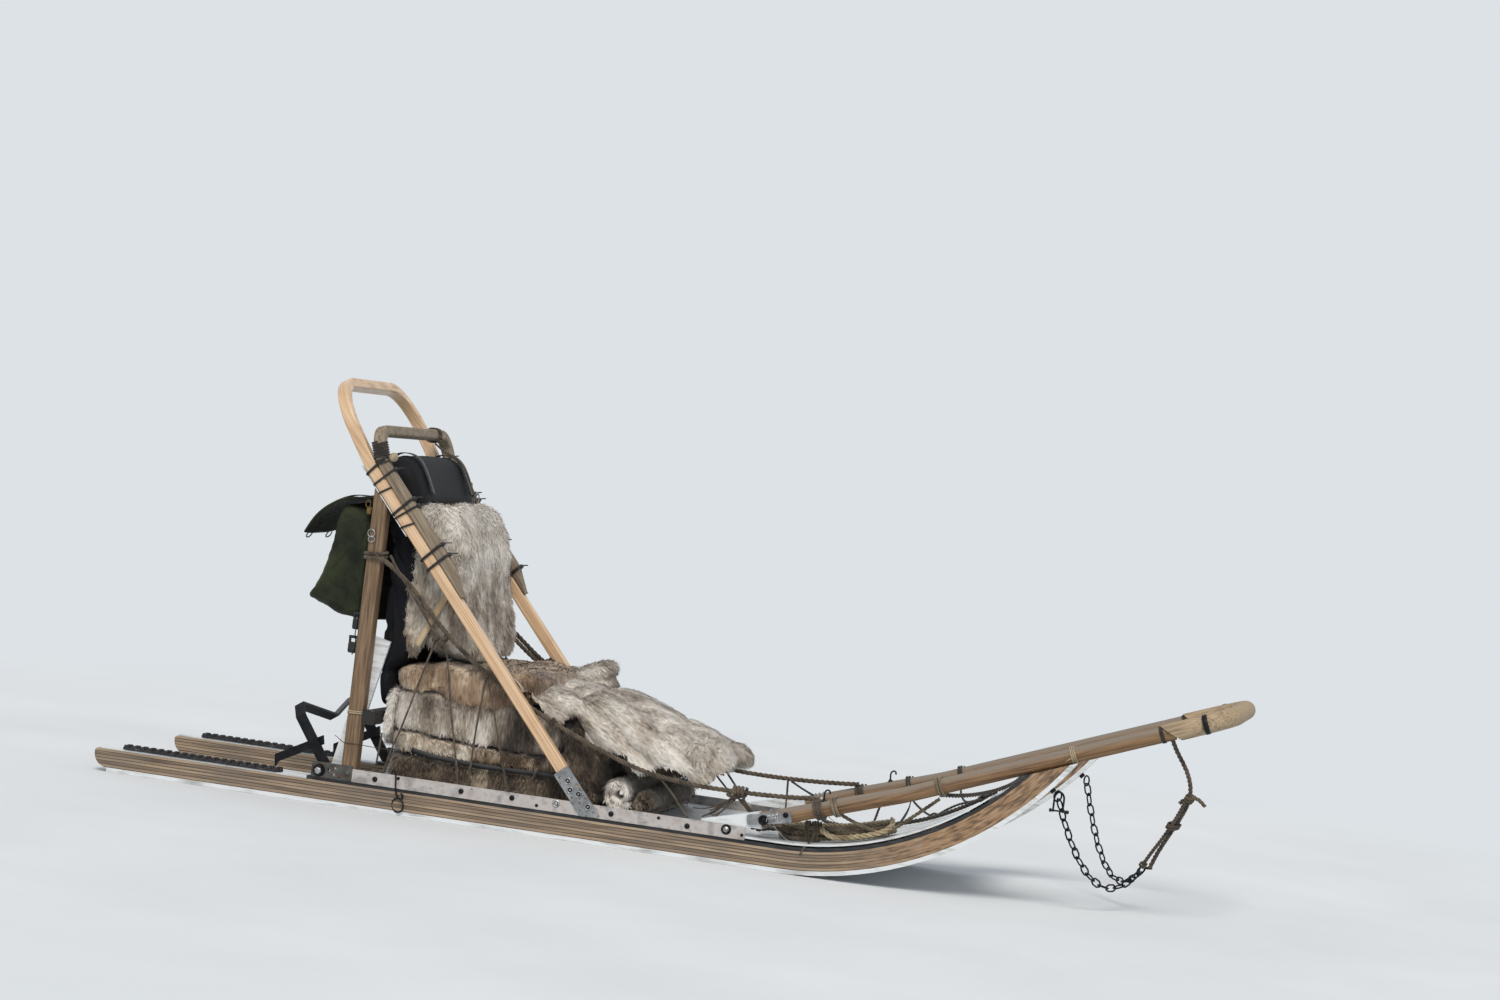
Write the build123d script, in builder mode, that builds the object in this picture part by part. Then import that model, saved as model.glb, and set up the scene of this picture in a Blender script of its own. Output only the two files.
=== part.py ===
"""Dog sled: laminated runners, handle bow, brush bow, claw brake, hides and rigging.

Millimetres. X is forward, Y is to the left, Z is up. The origin is on the floor under the
middle of the sled. Stations along X are measured forward from the tail end of the runners.
"""

import os
from math import asin, atan2, cos, degrees, hypot, radians, sin, tan

from build123d import *

# Driving dimensions
overall_length = 2680
gauge = 500
seat_gap = 0.3
tail = -overall_length / 2

# Runners, seen from the side, all concentric on the curve
shoe_height = 10
runner_height = 44
runner_width = 40
strip_height = 8
strip_width = 34
heel_strip_height = 4
curve_station = tail + 1677
curve_radius = 800
curve_angle = 56
heel_end = tail + 534
tail_round_top = 8
tail_round_bottom = 34

# Foot pads
pad_start = tail + 67
pad_length = 398
pad_width = 38
pad_base = 5
pad_lug_height = 6
pad_lug_length = 12
pad_lug_pitch = 20

# Side rails, aluminium angle standing on the runners
rail_start = tail + 646
rail_end = tail + 1597
rail_height = 30
rail_flange = 30
rail_wall = 4

# Heel brackets and the brake pivot
bracket_start = tail + 545
bracket_height = 36
bracket_hole = 7
pivot_station = tail + 564
pivot_height = 78
pivot_bolt = 10
pivot_clearance = 0.08
pivot_washer = 30
washer_thickness = 2
pivot_head = 17
head_height = 6
sleeve_diameter = 16

# Brake hoop and claws
arm_length = 140
arm_width = 25
arm_thickness = 6
brake_rise = 35
brake_side_gap = 13
hoop_corner = 28
hoop_dip = 43
claw_thickness = 10
# A claw's outline: steps ahead of the brake's bolt and up from it
claw_outline = [(-22, 76), (-135, 16), (-132, -14), (-124, 0), (-18, 55)]

# Stanchions, braces and cross bars
stanchion_station = tail + 633
stanchion_side = 36
brace_width = 42
brace_thickness = 8
brace_foot = tail + 584
brace_foot_height = 20
brace_lean = 12.3
brace_length = 390
tie_bar_height = 216
tie_bar_side = 32
cross_width = 50
cross_height = 22
bed_thickness = 4
bed_angle = 40
# Cross pieces: station from the tail, or angle up the curve
cross_stations = [(690, 0), (1150, 0), (1590, 0), (0, 37)]

# Handle bow, laminated birch, and the old bow that lies on it
bow_depth = 28
bow_width = 25
bow_foot = (tail + 1235, 59)
bow_knee = (tail + 600, 800)
bow_top = (tail + 482, 985)
bow_corner = 120
bow_knee_radius = 400
plate_width = 40
plate_length = 140
plate_thickness = 3
old_tip_height = 531
old_taper = 62
old_point = 7
old_knee_height = 812
old_top = (tail + 604, 886)
old_corner = 48
old_knee_radius = 100

# Brush bow
pole_diameter = 36
pole_start = (tail + 1629, 112)
pole_knee = (tail + 1950, 215)
nose_height = 487
nose_diameter = 44
nose_corner = 120
nose_reach = 150
scarf_length = 42
pole_knee_radius = 600
wedge_start = tail + 1490
wedge_rise = 39
wedge_width = 30
side_plate_start = tail + 1598
side_plate_end = tail + 1702

# Rigging: the side stay's points as station from the tail, height, and step out from the runner's
# middle. It starts on the post's outer face and passes inside the bow's leg to the pole's top.
rope_diameter = 12
stay_route = [
    (640, 592, 22.3),
    (662, 588, 22.3),
    (690, 565, 4),
    (722, 535, -12),
    (760, 498, -15),
    (815, 440, -15),
    (913, 364, -15),
    (1040, 292, -15),
    (1190, 228, -15),
    (1336, 178, -15),
    (1460, 166, -15),
    (1585, 166, -14),
    (1690, 171, -13),
    (1752, 177, -12),
]

# Bridle under the nose: a chain from each runner to the end of a rope
bridle_rope_diameter = 11
bridle_route = [
    (2533.6, -239.9, 422.8),
    (2542.5, -223.4, 399.6),
    (2560, -206, 372),
    (2575, -186, 342),
    (2582, -163, 308),
    (2576, -137, 273),
    (2560, -108, 238),
    (2542, -79, 204),
    (2523, -50, 169),
    (2507, -28, 136),
    (2495.6, -10.8, 105.8),
]
bridle_joint = (tail + 2488, 0, 104)
chain_angle = 49
chain_wire = 4
chain_link_length = 29.5
chain_link_width = 15
chain_count = 16
link_nose = 0.42
ring_radius = 12
ring_wire = 4
ring_play = 3
eye_reach = 20
stud_diameter = 13

# Rope hank lying on the turned-up bed
hank_station = tail + 1806
hank_length = 286
hank_width = 100
hank_thickness = 40
hank_side_gap = 85

# Soft goods: side gaps, and outlines as station from the tail and height
soft_side_gap = 25
back_side_gap = 31
bag_side_gap = 15
back_base = tie_bar_height + tie_bar_side / 2 + seat_gap
back_outline = [
    (657, back_base), (657, 700), (598, 790), (625, 838), (665, 838), (692, 812), (733, 720),
    (733, 341), (689, 341), (689, back_base),
]
bag_outline = [(614.7, 437), (614.7, 713), (455, 713), (440, 650), (462, 470), (500, 440)]

side_of = {"r": -1, "l": 1}
half_gauge = gauge / 2
hank_y = hank_side_gap - half_gauge
runner_top = shoe_height + runner_height
strip_top = runner_top + strip_height
rail_top = strip_top + rail_height
outer_face = half_gauge + runner_width / 2
curve_centre = (curve_station, curve_radius)


def side_plane(y):
    """Upright plane at this Y: sketch x is forward, sketch y is up."""
    return Plane.XZ.offset(-y)


def curve_point(radius, angle):
    """Point of the runner's curve at this radius and at this angle past its start."""
    return (
        curve_station + radius * sin(radians(angle)),
        curve_radius - radius * cos(radians(angle)),
    )


def curve_band(start, low, high, angle):
    """Outline that runs level from a station between two heights, then up the curve."""
    with BuildLine() as outline:
        outer = curve_radius - low
        inner = curve_radius - high
        Line((start, low), (curve_station, low))
        CenterArc(curve_centre, outer, -90, angle)
        Line(curve_point(outer, angle), curve_point(inner, angle))
        CenterArc(curve_centre, inner, -90, angle)
        Line((curve_station, high), (start, high))
        Line((start, high), (start, low))
    return outline.edges()


# The brush bow's straight line past its knee carries the runners' tips
nose_end = tail + overall_length - nose_diameter / 2
nose_start = tail + overall_length - nose_reach
pole_rise = atan2(nose_height - pole_knee[1], nose_end - pole_knee[0])


def pole_height(station, drop=0):
    """Height past the brush bow's knee, on its middle line or this far square below it."""
    return pole_knee[1] + (station - pole_knee[0]) * tan(pole_rise) - drop / cos(pole_rise)


def room_for_pole(y):
    """Block that stands on the brush bow's underside, to be cut from a runner's tip."""
    drop = pole_diameter / 2 + seat_gap
    back = curve_station + curve_radius / 2
    front = nose_end
    with BuildPart() as room:
        with BuildSketch(side_plane(y)):
            with BuildLine():
                Polyline(
                    (back, pole_height(back, drop)),
                    (front, pole_height(front, drop)),
                    (front, pole_height(front, drop) + curve_radius),
                    (back, pole_height(front, drop) + curve_radius),
                    close=True,
                )
            make_face()
        extrude(amount=runner_width, both=True)
    return room.part


# The bow's legs, seen from the side
leg_span = (bow_knee[0] - bow_foot[0], bow_knee[1] - bow_foot[1])
leg_direction = (leg_span[0] / hypot(*leg_span), leg_span[1] / hypot(*leg_span))
leg_normal = (leg_direction[1], -leg_direction[0])
leg_tilt = degrees(atan2(-leg_direction[0], leg_direction[1]))


def beside_leg(height, lift):
    """Point at this height on the line that runs this far above the leg's middle line."""
    along = (height - bow_foot[1] - lift * leg_normal[1]) / leg_direction[1]
    return (bow_foot[0] + along * leg_direction[0] + lift * leg_normal[0], height)


def corner_radii(points):
    """Largest even bends of a rope: 0.45 of the shorter run over the tangent of half the turn."""
    radii = []
    for before, here, after in zip(points, points[1:], points[2:]):
        first = Vector(*here) - Vector(*before)
        second = Vector(*after) - Vector(*here)
        half_turn = radians(first.get_angle(second)) / 2
        radii.append(0.45 * min(first.length, second.length) / tan(half_turn))
    return radii


leg_underside_point = beside_leg(bow_foot[1], -bow_depth / 2 - seat_gap)
leg_underside = Plane(
    origin=(leg_underside_point[0], 0, leg_underside_point[1]),
    x_dir=(0, 1, 0),
    z_dir=(leg_normal[0], 0, leg_normal[1]),
)
rear_rise = atan2(pole_knee[1] - pole_start[1], pole_knee[0] - pole_start[0])


def pole_end_point(height):
    """Point at this height just behind the pole's rear end, which is cut square to it."""
    return (pole_start[0] - (height - pole_start[1]) * tan(rear_rise) - seat_gap, height)


scarf_lean = pole_rise + atan2(scarf_length, nose_diameter)
scarf_plane = Plane(
    origin=(nose_start, 0, pole_height(nose_start)),
    x_dir=(0, 1, 0),
    z_dir=(cos(scarf_lean), 0, sin(scarf_lean)),
)

os.makedirs("parts", exist_ok=True)

for side, sign in side_of.items():
    y = sign * half_gauge
    pole_room = room_for_pole(y)

    # Runner: laminated birch with a rounded tail, cut off under the brush bow
    with BuildPart() as runner:
        with BuildSketch(side_plane(y)):
            make_face(curve_band(tail, shoe_height, runner_top, curve_angle))
        extrude(amount=runner_width / 2, both=True)
        tail_edges = runner.edges().filter_by(Axis.Y).group_by(Axis.X)[0]
        fillet(tail_edges.sort_by(Axis.Z)[-1], tail_round_top)
        bottom_edges = runner.edges().filter_by(Axis.Y).group_by(Axis.Z)[0]
        fillet(bottom_edges.sort_by(Axis.X)[0], tail_round_bottom)
        add(pole_room, mode=Mode.SUBTRACT)
    runner.part.label = f"runner_{side}"
    export_step(runner.part, f"parts/runner_{side}.step")

    # Shoe: white plastic glide strip under the runner
    with BuildPart() as shoe:
        with BuildSketch(side_plane(y)):
            make_face(curve_band(tail + tail_round_bottom, 0, shoe_height, curve_angle))
        extrude(amount=runner_width / 2, both=True)
        add(pole_room, mode=Mode.SUBTRACT)
    shoe.part.label = f"shoe_{side}"
    export_step(shoe.part, f"parts/shoe_{side}.step")

    # Deck strip: black plastic on the runner's top, from the brake to the tip
    with BuildPart() as deck_strip:
        with BuildSketch(side_plane(y)):
            make_face(curve_band(heel_end, runner_top, strip_top, curve_angle))
        extrude(amount=strip_width / 2, both=True)
        add(pole_room, mode=Mode.SUBTRACT)
    deck_strip.part.label = f"deck_strip_{side}"
    export_step(deck_strip.part, f"parts/deck_strip_{side}.step")

    # Heel strip: white plastic under the foot pad
    heel_strip_length = heel_end - tail - tail_round_top
    with BuildPart() as heel_strip:
        with BuildSketch(Plane.XY.offset(runner_top)):
            with Locations((heel_end - heel_strip_length / 2, y)):
                Rectangle(heel_strip_length, strip_width)
        extrude(amount=heel_strip_height)
        fillet(heel_strip.edges().filter_by(Axis.Z).group_by(Axis.X)[0], 8)
    heel_strip.part.label = f"heel_strip_{side}"
    export_step(heel_strip.part, f"parts/heel_strip_{side}.step")

    # Foot pad: rubber with lugs across it
    pad_floor = runner_top + heel_strip_height
    lug_count = int((pad_length - pad_lug_length) // pad_lug_pitch) + 1
    with BuildPart() as foot_pad:
        with BuildSketch(Plane.XY.offset(pad_floor)):
            with Locations((pad_start + pad_length / 2, y)):
                RectangleRounded(pad_length, pad_width, 10)
        extrude(amount=pad_base)
        with BuildSketch(Plane.XY.offset(pad_floor + pad_base)):
            with Locations((pad_start + pad_length / 2, y)):
                with GridLocations(pad_lug_pitch, pad_width / 2, lug_count, 2):
                    Rectangle(pad_lug_length, pad_width / 2 - 5)
        extrude(amount=pad_lug_height, taper=12)
    foot_pad.part.label = f"foot_pad_{side}"
    export_step(foot_pad.part, f"parts/foot_pad_{side}.step")

    # Side rail: aluminium angle, its base cut back clear of the stanchion
    base_start = stanchion_station + stanchion_side / 2 + 3
    with BuildPart() as rail:
        with BuildSketch(side_plane(sign * outer_face)):
            with Locations(((rail_start + rail_end) / 2, strip_top + rail_height / 2)):
                Rectangle(rail_end - rail_start, rail_height)
        extrude(amount=rail_wall * sign)
        with BuildSketch(Plane.XY.offset(strip_top)):
            with Locations(((base_start + rail_end) / 2, sign * (outer_face - rail_flange / 2))):
                Rectangle(rail_end - base_start, rail_flange)
        extrude(amount=rail_wall)
    rail.part.label = f"rail_{side}"
    export_step(rail.part, f"parts/rail_{side}.step")

    # Heel bracket: steel plate that holds the stanchion's foot and the brake's bolt
    bracket_length = rail_start - 1 - bracket_start
    with BuildPart() as bracket:
        with BuildSketch(side_plane(sign * outer_face)):
            with Locations((bracket_start + bracket_length / 2, strip_top + bracket_height / 2)):
                Rectangle(bracket_length, bracket_height)
            with Locations((pivot_station, pivot_height)):
                Circle(pivot_bolt / 2, mode=Mode.SUBTRACT)
            with Locations(
                (pivot_station + 24, pivot_height + 4),
                (pivot_station + 37, pivot_height - 6),
                (pivot_station + 39, pivot_height + 9),
            ):
                Circle(bracket_hole / 2, mode=Mode.SUBTRACT)
        extrude(amount=rail_wall * sign)
        chamfer(bracket.edges().filter_by(Axis.Y).group_by(Axis.X)[0].sort_by(Axis.Z)[-1], 6)
    bracket.part.label = f"heel_bracket_{side}"
    export_step(bracket.part, f"parts/heel_bracket_{side}.step")

    # Brake bolt: hex head, washer, sleeve that keeps the brake off the runner, and nut
    arm_outer = half_gauge - runner_width / 2 - brake_side_gap
    with BuildPart() as bolt:
        with BuildSketch(side_plane(sign * outer_face)):
            with Locations((pivot_station, pivot_height)):
                Circle(pivot_washer / 2)
        extrude(amount=-washer_thickness * sign)
        with BuildSketch(side_plane(sign * (outer_face + washer_thickness))):
            with Locations((pivot_station, pivot_height)):
                RegularPolygon(pivot_head / 2, 6, major_radius=False)
        extrude(amount=-head_height * sign)
        with BuildSketch(side_plane(sign * outer_face)):
            with Locations((pivot_station, pivot_height)):
                Circle(pivot_bolt / 2)
        extrude(amount=(outer_face - arm_outer + arm_thickness + 8) * sign)
        with BuildSketch(side_plane(sign * (outer_face - rail_wall))):
            with Locations((pivot_station, pivot_height)):
                Circle(sleeve_diameter / 2)
        extrude(amount=(outer_face - rail_wall - arm_outer - seat_gap) * sign)
        with BuildSketch(side_plane(sign * (arm_outer - arm_thickness - seat_gap))):
            with Locations((pivot_station, pivot_height)):
                RegularPolygon(pivot_head / 2, 6, major_radius=False)
        extrude(amount=head_height * sign)
    bolt.part.label = f"brake_bolt_{side}"
    export_step(bolt.part, f"parts/brake_bolt_{side}.step")

    # Stanchion: weathered square post, cut off under the bow's leg
    with BuildPart() as stanchion:
        with BuildSketch(Plane.XY.offset(strip_top)):
            with Locations((stanchion_station, sign * (outer_face - rail_wall - stanchion_side / 2))):
                RectangleRounded(stanchion_side, stanchion_side, 5)
        extrude(amount=bow_knee[1])
        split(bisect_by=leg_underside, keep=Keep.BOTTOM)
    stanchion.part.label = f"stanchion_{side}"
    export_step(stanchion.part, f"parts/stanchion_{side}.step")

    # Brace: white plastic strip on the inner faces of runner and stanchion
    brace_face = half_gauge - runner_width / 2
    with BuildPart() as brace:
        with BuildSketch(side_plane(sign * brace_face)):
            reach = brace_length / 2
            lean = radians(brace_lean)
            with Locations((brace_foot + reach * sin(lean), brace_foot_height + reach * cos(lean))):
                Rectangle(brace_width, brace_length, rotation=-brace_lean)
        extrude(amount=brace_thickness * sign)
    brace.part.label = f"brace_{side}"
    export_step(brace.part, f"parts/brace_{side}.step")

    # Bow plate: perforated aluminium that joins the bow's leg to the rail
    with BuildPart() as bow_plate:
        plate_middle = (
            bow_foot[0] + leg_direction[0] * (plate_length / 2 - 6),
            bow_foot[1] + leg_direction[1] * (plate_length / 2 - 6),
        )
        with BuildSketch(side_plane(sign * outer_face)):
            with Locations(plate_middle):
                RectangleRounded(plate_width, plate_length, 4, rotation=leg_tilt)
        extrude(amount=-plate_thickness * sign)
    bow_plate.part.label = f"bow_plate_{side}"
    export_step(bow_plate.part, f"parts/bow_plate_{side}.step")

    # Brush bow pole: weathered round wood, scarfed to the nose
    with BuildPart() as pole:
        with BuildLine() as pole_line:
            FilletPolyline(
                (pole_start[0], y, pole_start[1]),
                (pole_knee[0], y, pole_knee[1]),
                (nose_end - nose_corner, y, pole_height(nose_end - nose_corner)),
                radius=pole_knee_radius,
            )
        with BuildSketch(Plane(origin=pole_line.line @ 0, x_dir=(0, 1, 0), z_dir=pole_line.line % 0)):
            Circle(pole_diameter / 2)
        sweep()
        split(bisect_by=scarf_plane, keep=Keep.BOTTOM)
    pole.part.label = f"pole_{side}"
    export_step(pole.part, f"parts/pole_{side}.step")

    # Pole wedge: white plastic between rail and pole
    with BuildPart() as wedge:
        with BuildSketch(side_plane(y)):
            with BuildLine():
                Polyline(
                    (wedge_start, rail_top + seat_gap),
                    pole_end_point(rail_top + seat_gap),
                    pole_end_point(rail_top + wedge_rise),
                    (wedge_start, rail_top + 4),
                    close=True,
                )
            make_face()
        extrude(amount=wedge_width / 2, both=True)
    wedge.part.label = f"pole_wedge_{side}"
    export_step(wedge.part, f"parts/pole_wedge_{side}.step")

    # Side plate: grey strap over the joint of wedge and pole
    strap_length = side_plate_end - side_plate_start
    strap_middle = (side_plate_end + side_plate_start) / 2
    with BuildPart() as side_plate:
        with BuildSketch(side_plane(y + sign * (pole_diameter / 2 + seat_gap))):
            with Locations((strap_middle, rail_top + wedge_rise * 0.7)):
                RectangleRounded(strap_length, 24, 5, rotation=degrees(rear_rise) * 0.6)
        extrude(amount=-plate_thickness * sign)
    side_plate.part.label = f"side_plate_{side}"
    export_step(side_plate.part, f"parts/side_plate_{side}.step")

    # Side stay: rope from the stanchion past the bow's leg to the pole
    stay_points = [
        (tail + station, sign * (half_gauge + step), height) for station, height, step in stay_route
    ]
    with BuildPart() as stay:
        with BuildLine() as stay_line:
            FilletPolyline(*stay_points, radius=corner_radii(stay_points))
        with BuildSketch(Plane(origin=stay_line.line @ 0, x_dir=(0, 1, 0), z_dir=stay_line.line % 0)):
            Circle(rope_diameter / 2)
        sweep()
    stay.part.label = f"stay_rope_{side}"
    export_step(stay.part, f"parts/stay_rope_{side}.step")

# Tie bar: black bar lashed across the front of the stanchions
tie_bar_x = stanchion_station + stanchion_side / 2 + seat_gap + tie_bar_side / 2
tie_bar_length = 2 * (outer_face - rail_wall)
with BuildPart() as tie_bar:
    with BuildSketch(Plane.XZ):
        with Locations((tie_bar_x, tie_bar_height)):
            RectangleRounded(tie_bar_side, tie_bar_side, 4)
    extrude(amount=tie_bar_length / 2, both=True)
tie_bar.part.label = "tie_bar"
export_step(tie_bar.part, "parts/tie_bar.step")

# Cross pieces: wooden slats between the runners that carry the bed
cross_length = gauge - runner_width
bed_floor = strip_top + rail_wall
for number, angle_or_station in enumerate(cross_stations, 1):
    station, angle = angle_or_station
    with BuildPart() as cross_piece:
        if angle:
            middle = curve_point(curve_radius - bed_floor + cross_height / 2, angle)
        else:
            middle = (tail + station, bed_floor - cross_height / 2)
        with BuildSketch(Plane.XZ):
            with Locations(middle):
                Rectangle(cross_width, cross_height, rotation=angle)
        extrude(amount=cross_length / 2, both=True)
    cross_piece.part.label = f"cross_piece_{number}"
    export_step(cross_piece.part, f"parts/cross_piece_{number}.step")

# Bed: plastic sheet on the rails' bases, turned up with the runners
bed_start = stanchion_station + stanchion_side / 2 + 5
with BuildPart() as bed:
    with BuildSketch(Plane.XZ):
        make_face(curve_band(bed_start, bed_floor, bed_floor + bed_thickness, bed_angle))
    extrude(amount=outer_face - rail_wall - 2, both=True)
bed.part.label = "bed"
export_step(bed.part, "parts/bed.step")

# Handle bow: one bent strip from rail to rail
bow_y = outer_face - bow_width / 2
with BuildPart() as handle_bow:
    with BuildLine() as bow_line:
        FilletPolyline(
            (bow_foot[0], -bow_y, bow_foot[1]),
            (bow_knee[0], -bow_y, bow_knee[1]),
            (bow_top[0], -bow_y, bow_top[1]),
            (bow_top[0], bow_y, bow_top[1]),
            (bow_knee[0], bow_y, bow_knee[1]),
            (bow_foot[0], bow_y, bow_foot[1]),
            radius=[bow_knee_radius, bow_corner, bow_corner, bow_knee_radius],
        )
    with BuildSketch(Plane(origin=bow_line.line @ 0, x_dir=(0, 1, 0), z_dir=bow_line.line % 0)):
        RectangleRounded(bow_width, bow_depth, 4)
    sweep()
    split(bisect_by=Plane.XY.offset(rail_top + seat_gap), keep=Keep.TOP)
handle_bow.part.label = "handle_bow"
export_step(handle_bow.part, "parts/handle_bow.step")

# Old bow: weathered, lying on the front of the new one and tied to it, its ends cut to points
old_lift = bow_depth + seat_gap
old_tip = beside_leg(old_tip_height, old_lift)
old_knee = beside_leg(old_knee_height, old_lift)
with BuildPart() as old_bow:
    with BuildLine() as old_line:
        FilletPolyline(
            (old_tip[0], -bow_y, old_tip[1]),
            (old_knee[0], -bow_y, old_knee[1]),
            (old_top[0], -bow_y, old_top[1]),
            (old_top[0], bow_y, old_top[1]),
            (old_knee[0], bow_y, old_knee[1]),
            (old_tip[0], bow_y, old_tip[1]),
            radius=[old_knee_radius, old_corner, old_corner, old_knee_radius],
        )
    with BuildSketch(Plane(origin=old_line.line @ 0, x_dir=(0, 1, 0), z_dir=old_line.line % 0)):
        RectangleRounded(bow_width, bow_depth, 6)
    sweep()
    with BuildSketch(Plane.XZ):
        with BuildLine():
            Polyline(
                beside_leg(old_tip_height + old_taper, old_lift + bow_depth / 2),
                beside_leg(old_tip_height, old_lift - bow_depth / 2 + old_point),
                beside_leg(old_tip_height - bow_depth, old_lift - bow_depth / 2 + old_point),
                beside_leg(old_tip_height - bow_depth, old_lift + bow_depth),
                beside_leg(old_tip_height + old_taper, old_lift + bow_depth),
                close=True,
            )
        make_face()
    extrude(amount=outer_face, both=True, mode=Mode.SUBTRACT)
old_bow.part.label = "old_bow"
export_step(old_bow.part, "parts/old_bow.step")

# Nose: the brush bow's thicker U at the front
with BuildPart() as nose:
    with BuildLine() as nose_line:
        nose_back = nose_start - 60
        FilletPolyline(
            (nose_back, -half_gauge, pole_height(nose_back)),
            (nose_end, -half_gauge, pole_height(nose_end)),
            (nose_end, half_gauge, pole_height(nose_end)),
            (nose_back, half_gauge, pole_height(nose_back)),
            radius=nose_corner,
        )
    with BuildSketch(Plane(origin=nose_line.line @ 0, x_dir=(0, 1, 0), z_dir=nose_line.line % 0)):
        Circle(nose_diameter / 2)
    sweep()
    split(bisect_by=scarf_plane, keep=Keep.TOP)
nose.part.label = "nose"
export_step(nose.part, "parts/nose.step")

# Brake: flat steel hoop on the two heel bolts, dipped in the middle for the foot
arm_middle = half_gauge - runner_width / 2 - brake_side_gap - arm_thickness / 2
hoop_plane = Plane(
    origin=(pivot_station, 0, pivot_height),
    x_dir=(0, 1, 0),
    z_dir=(cos(radians(brake_rise)), 0, sin(radians(brake_rise))),
)
with BuildPart() as brake_hoop:
    with BuildSketch(hoop_plane):
        with BuildLine():
            Polyline(
                (-arm_middle, 0),
                (-arm_middle, arm_length),
                (-arm_middle + hoop_corner, arm_length + hoop_corner),
                (0, arm_length + hoop_corner - hoop_dip),
                (arm_middle - hoop_corner, arm_length + hoop_corner),
                (arm_middle, arm_length),
                (arm_middle, 0),
            )
        trace(line_width=arm_thickness)
    extrude(amount=arm_width / 2, both=True)
    for sign in side_of.values():
        with BuildSketch(side_plane(sign * (arm_middle + arm_thickness / 2))):
            with Locations((pivot_station, pivot_height)):
                Circle(arm_width / 2)
        extrude(amount=arm_thickness * sign)
    with BuildSketch(Plane.XZ):
        with Locations((pivot_station, pivot_height)):
            Circle(pivot_bolt / 2 + pivot_clearance)
    extrude(amount=gauge, both=True, mode=Mode.SUBTRACT)
brake_hoop.part.label = "brake_hoop"
export_step(brake_hoop.part, "parts/brake_hoop.step")

# Brake claws: arms inside the hoop's arms, each with a spike
claw_face = arm_middle - arm_thickness / 2
with BuildPart() as brake_claws:
    for sign in side_of.values():
        with BuildSketch(side_plane(sign * claw_face)):
            with BuildLine():
                Polyline(
                    *[(pivot_station + ahead, pivot_height + up) for ahead, up in claw_outline],
                    close=True,
                )
            make_face()
        extrude(amount=claw_thickness * sign)
brake_claws.part.label = "brake_claws"
export_step(brake_claws.part, "parts/brake_claws.step")

# Seat back: padded bag between the legs of the bow
with BuildPart() as seat_back:
    with BuildSketch(Plane.XZ):
        with BuildLine():
            Polyline(*[(tail + station, height) for station, height in back_outline], close=True)
        make_face()
    extrude(amount=half_gauge - back_side_gap, both=True)
seat_back.part.label = "seat_back"
export_step(seat_back.part, "parts/seat_back.step")

# Handlebar bag behind the stanchions
with BuildPart() as handlebar_bag:
    with BuildSketch(Plane.XZ):
        with BuildLine():
            Polyline(*[(tail + station, height) for station, height in bag_outline], close=True)
        make_face()
    extrude(amount=half_gauge - bag_side_gap, both=True)
handlebar_bag.part.label = "handlebar_bag"
export_step(handlebar_bag.part, "parts/handlebar_bag.step")

# Hides
bed_top = bed_floor + bed_thickness
hide_floor = bed_top + seat_gap
seat_top = 335
back_face = 733 + seat_gap
hide_outlines = {
    "hide_seat": [
        (692, hide_floor), (692, seat_top), (1205, seat_top), (1226, 200), (1215, hide_floor),
    ],
    "hide_back": [
        (back_face, seat_top + seat_gap), (back_face, 738), (775, 735), (812, 695), (852, 590),
        (868, 450), (892, seat_top + seat_gap),
    ],
    "hide_front": [
        (1000, seat_top + seat_gap), (1000, 372), (1250, 376), (1400, 320), (1568, 240),
        (1568, 206), (1460, 197), (1372, 195), (1345, 192.6), (1262, 192.6), (1236, 215),
        (1230, seat_top + seat_gap),
    ],
    "hide_rolls": [
        (1236, hide_floor), (1236, 170), (1262, 192), (1345, 192), (1370, 170), (1370, hide_floor),
    ],
}
for name, points in hide_outlines.items():
    with BuildPart() as hide:
        with BuildSketch(Plane.XZ):
            with BuildLine():
                Polyline(*[(tail + x, z) for x, z in points], close=True)
            make_face()
        extrude(amount=half_gauge - soft_side_gap, both=True)
    hide.part.label = name
    export_step(hide.part, f"parts/{name}.step")

# Bridle rope: from the lashing under the pole to the chains
bridle_points = [(tail + station, across, height) for station, across, height in bridle_route]
bridle_radii = corner_radii(bridle_points)
with BuildPart() as bridle_rope:
    with BuildLine() as bridle_line:
        FilletPolyline(*bridle_points, radius=bridle_radii)
    with BuildSketch(Plane(origin=bridle_line.line @ 0, x_dir=(0, 1, 0), z_dir=bridle_line.line % 0)):
        Circle(bridle_rope_diameter / 2)
    sweep()
bridle_rope.part.label = "bridle_rope"
export_step(bridle_rope.part, "parts/bridle_rope.step")
bridle_length = sum(edge.length for edge in bridle_line.edges())
print("bridle rope length", round(bridle_length), "radii", [round(radius) for radius in bridle_radii])


def chain_point(start, end, sag, share):
    """Point of a slack chain between two ends, this share of the way along."""
    level = start + (end - start) * share
    return level - Vector(0, 0, 4 * sag * share * (1 - share))


def chain_steps(start, end, sag, steps=400):
    """Points close together along the slack chain."""
    return [chain_point(start, end, sag, step / steps) for step in range(steps + 1)]


def slack(start, end, length):
    """Sag that a chain of this length takes between two ends."""
    low = 0
    high = length
    for _ in range(40):
        sag = (low + high) / 2
        points = chain_steps(start, end, sag)
        if sum((b - a).length for a, b in zip(points, points[1:])) < length:
            low = sag
        else:
            high = sag
    return sag


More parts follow.
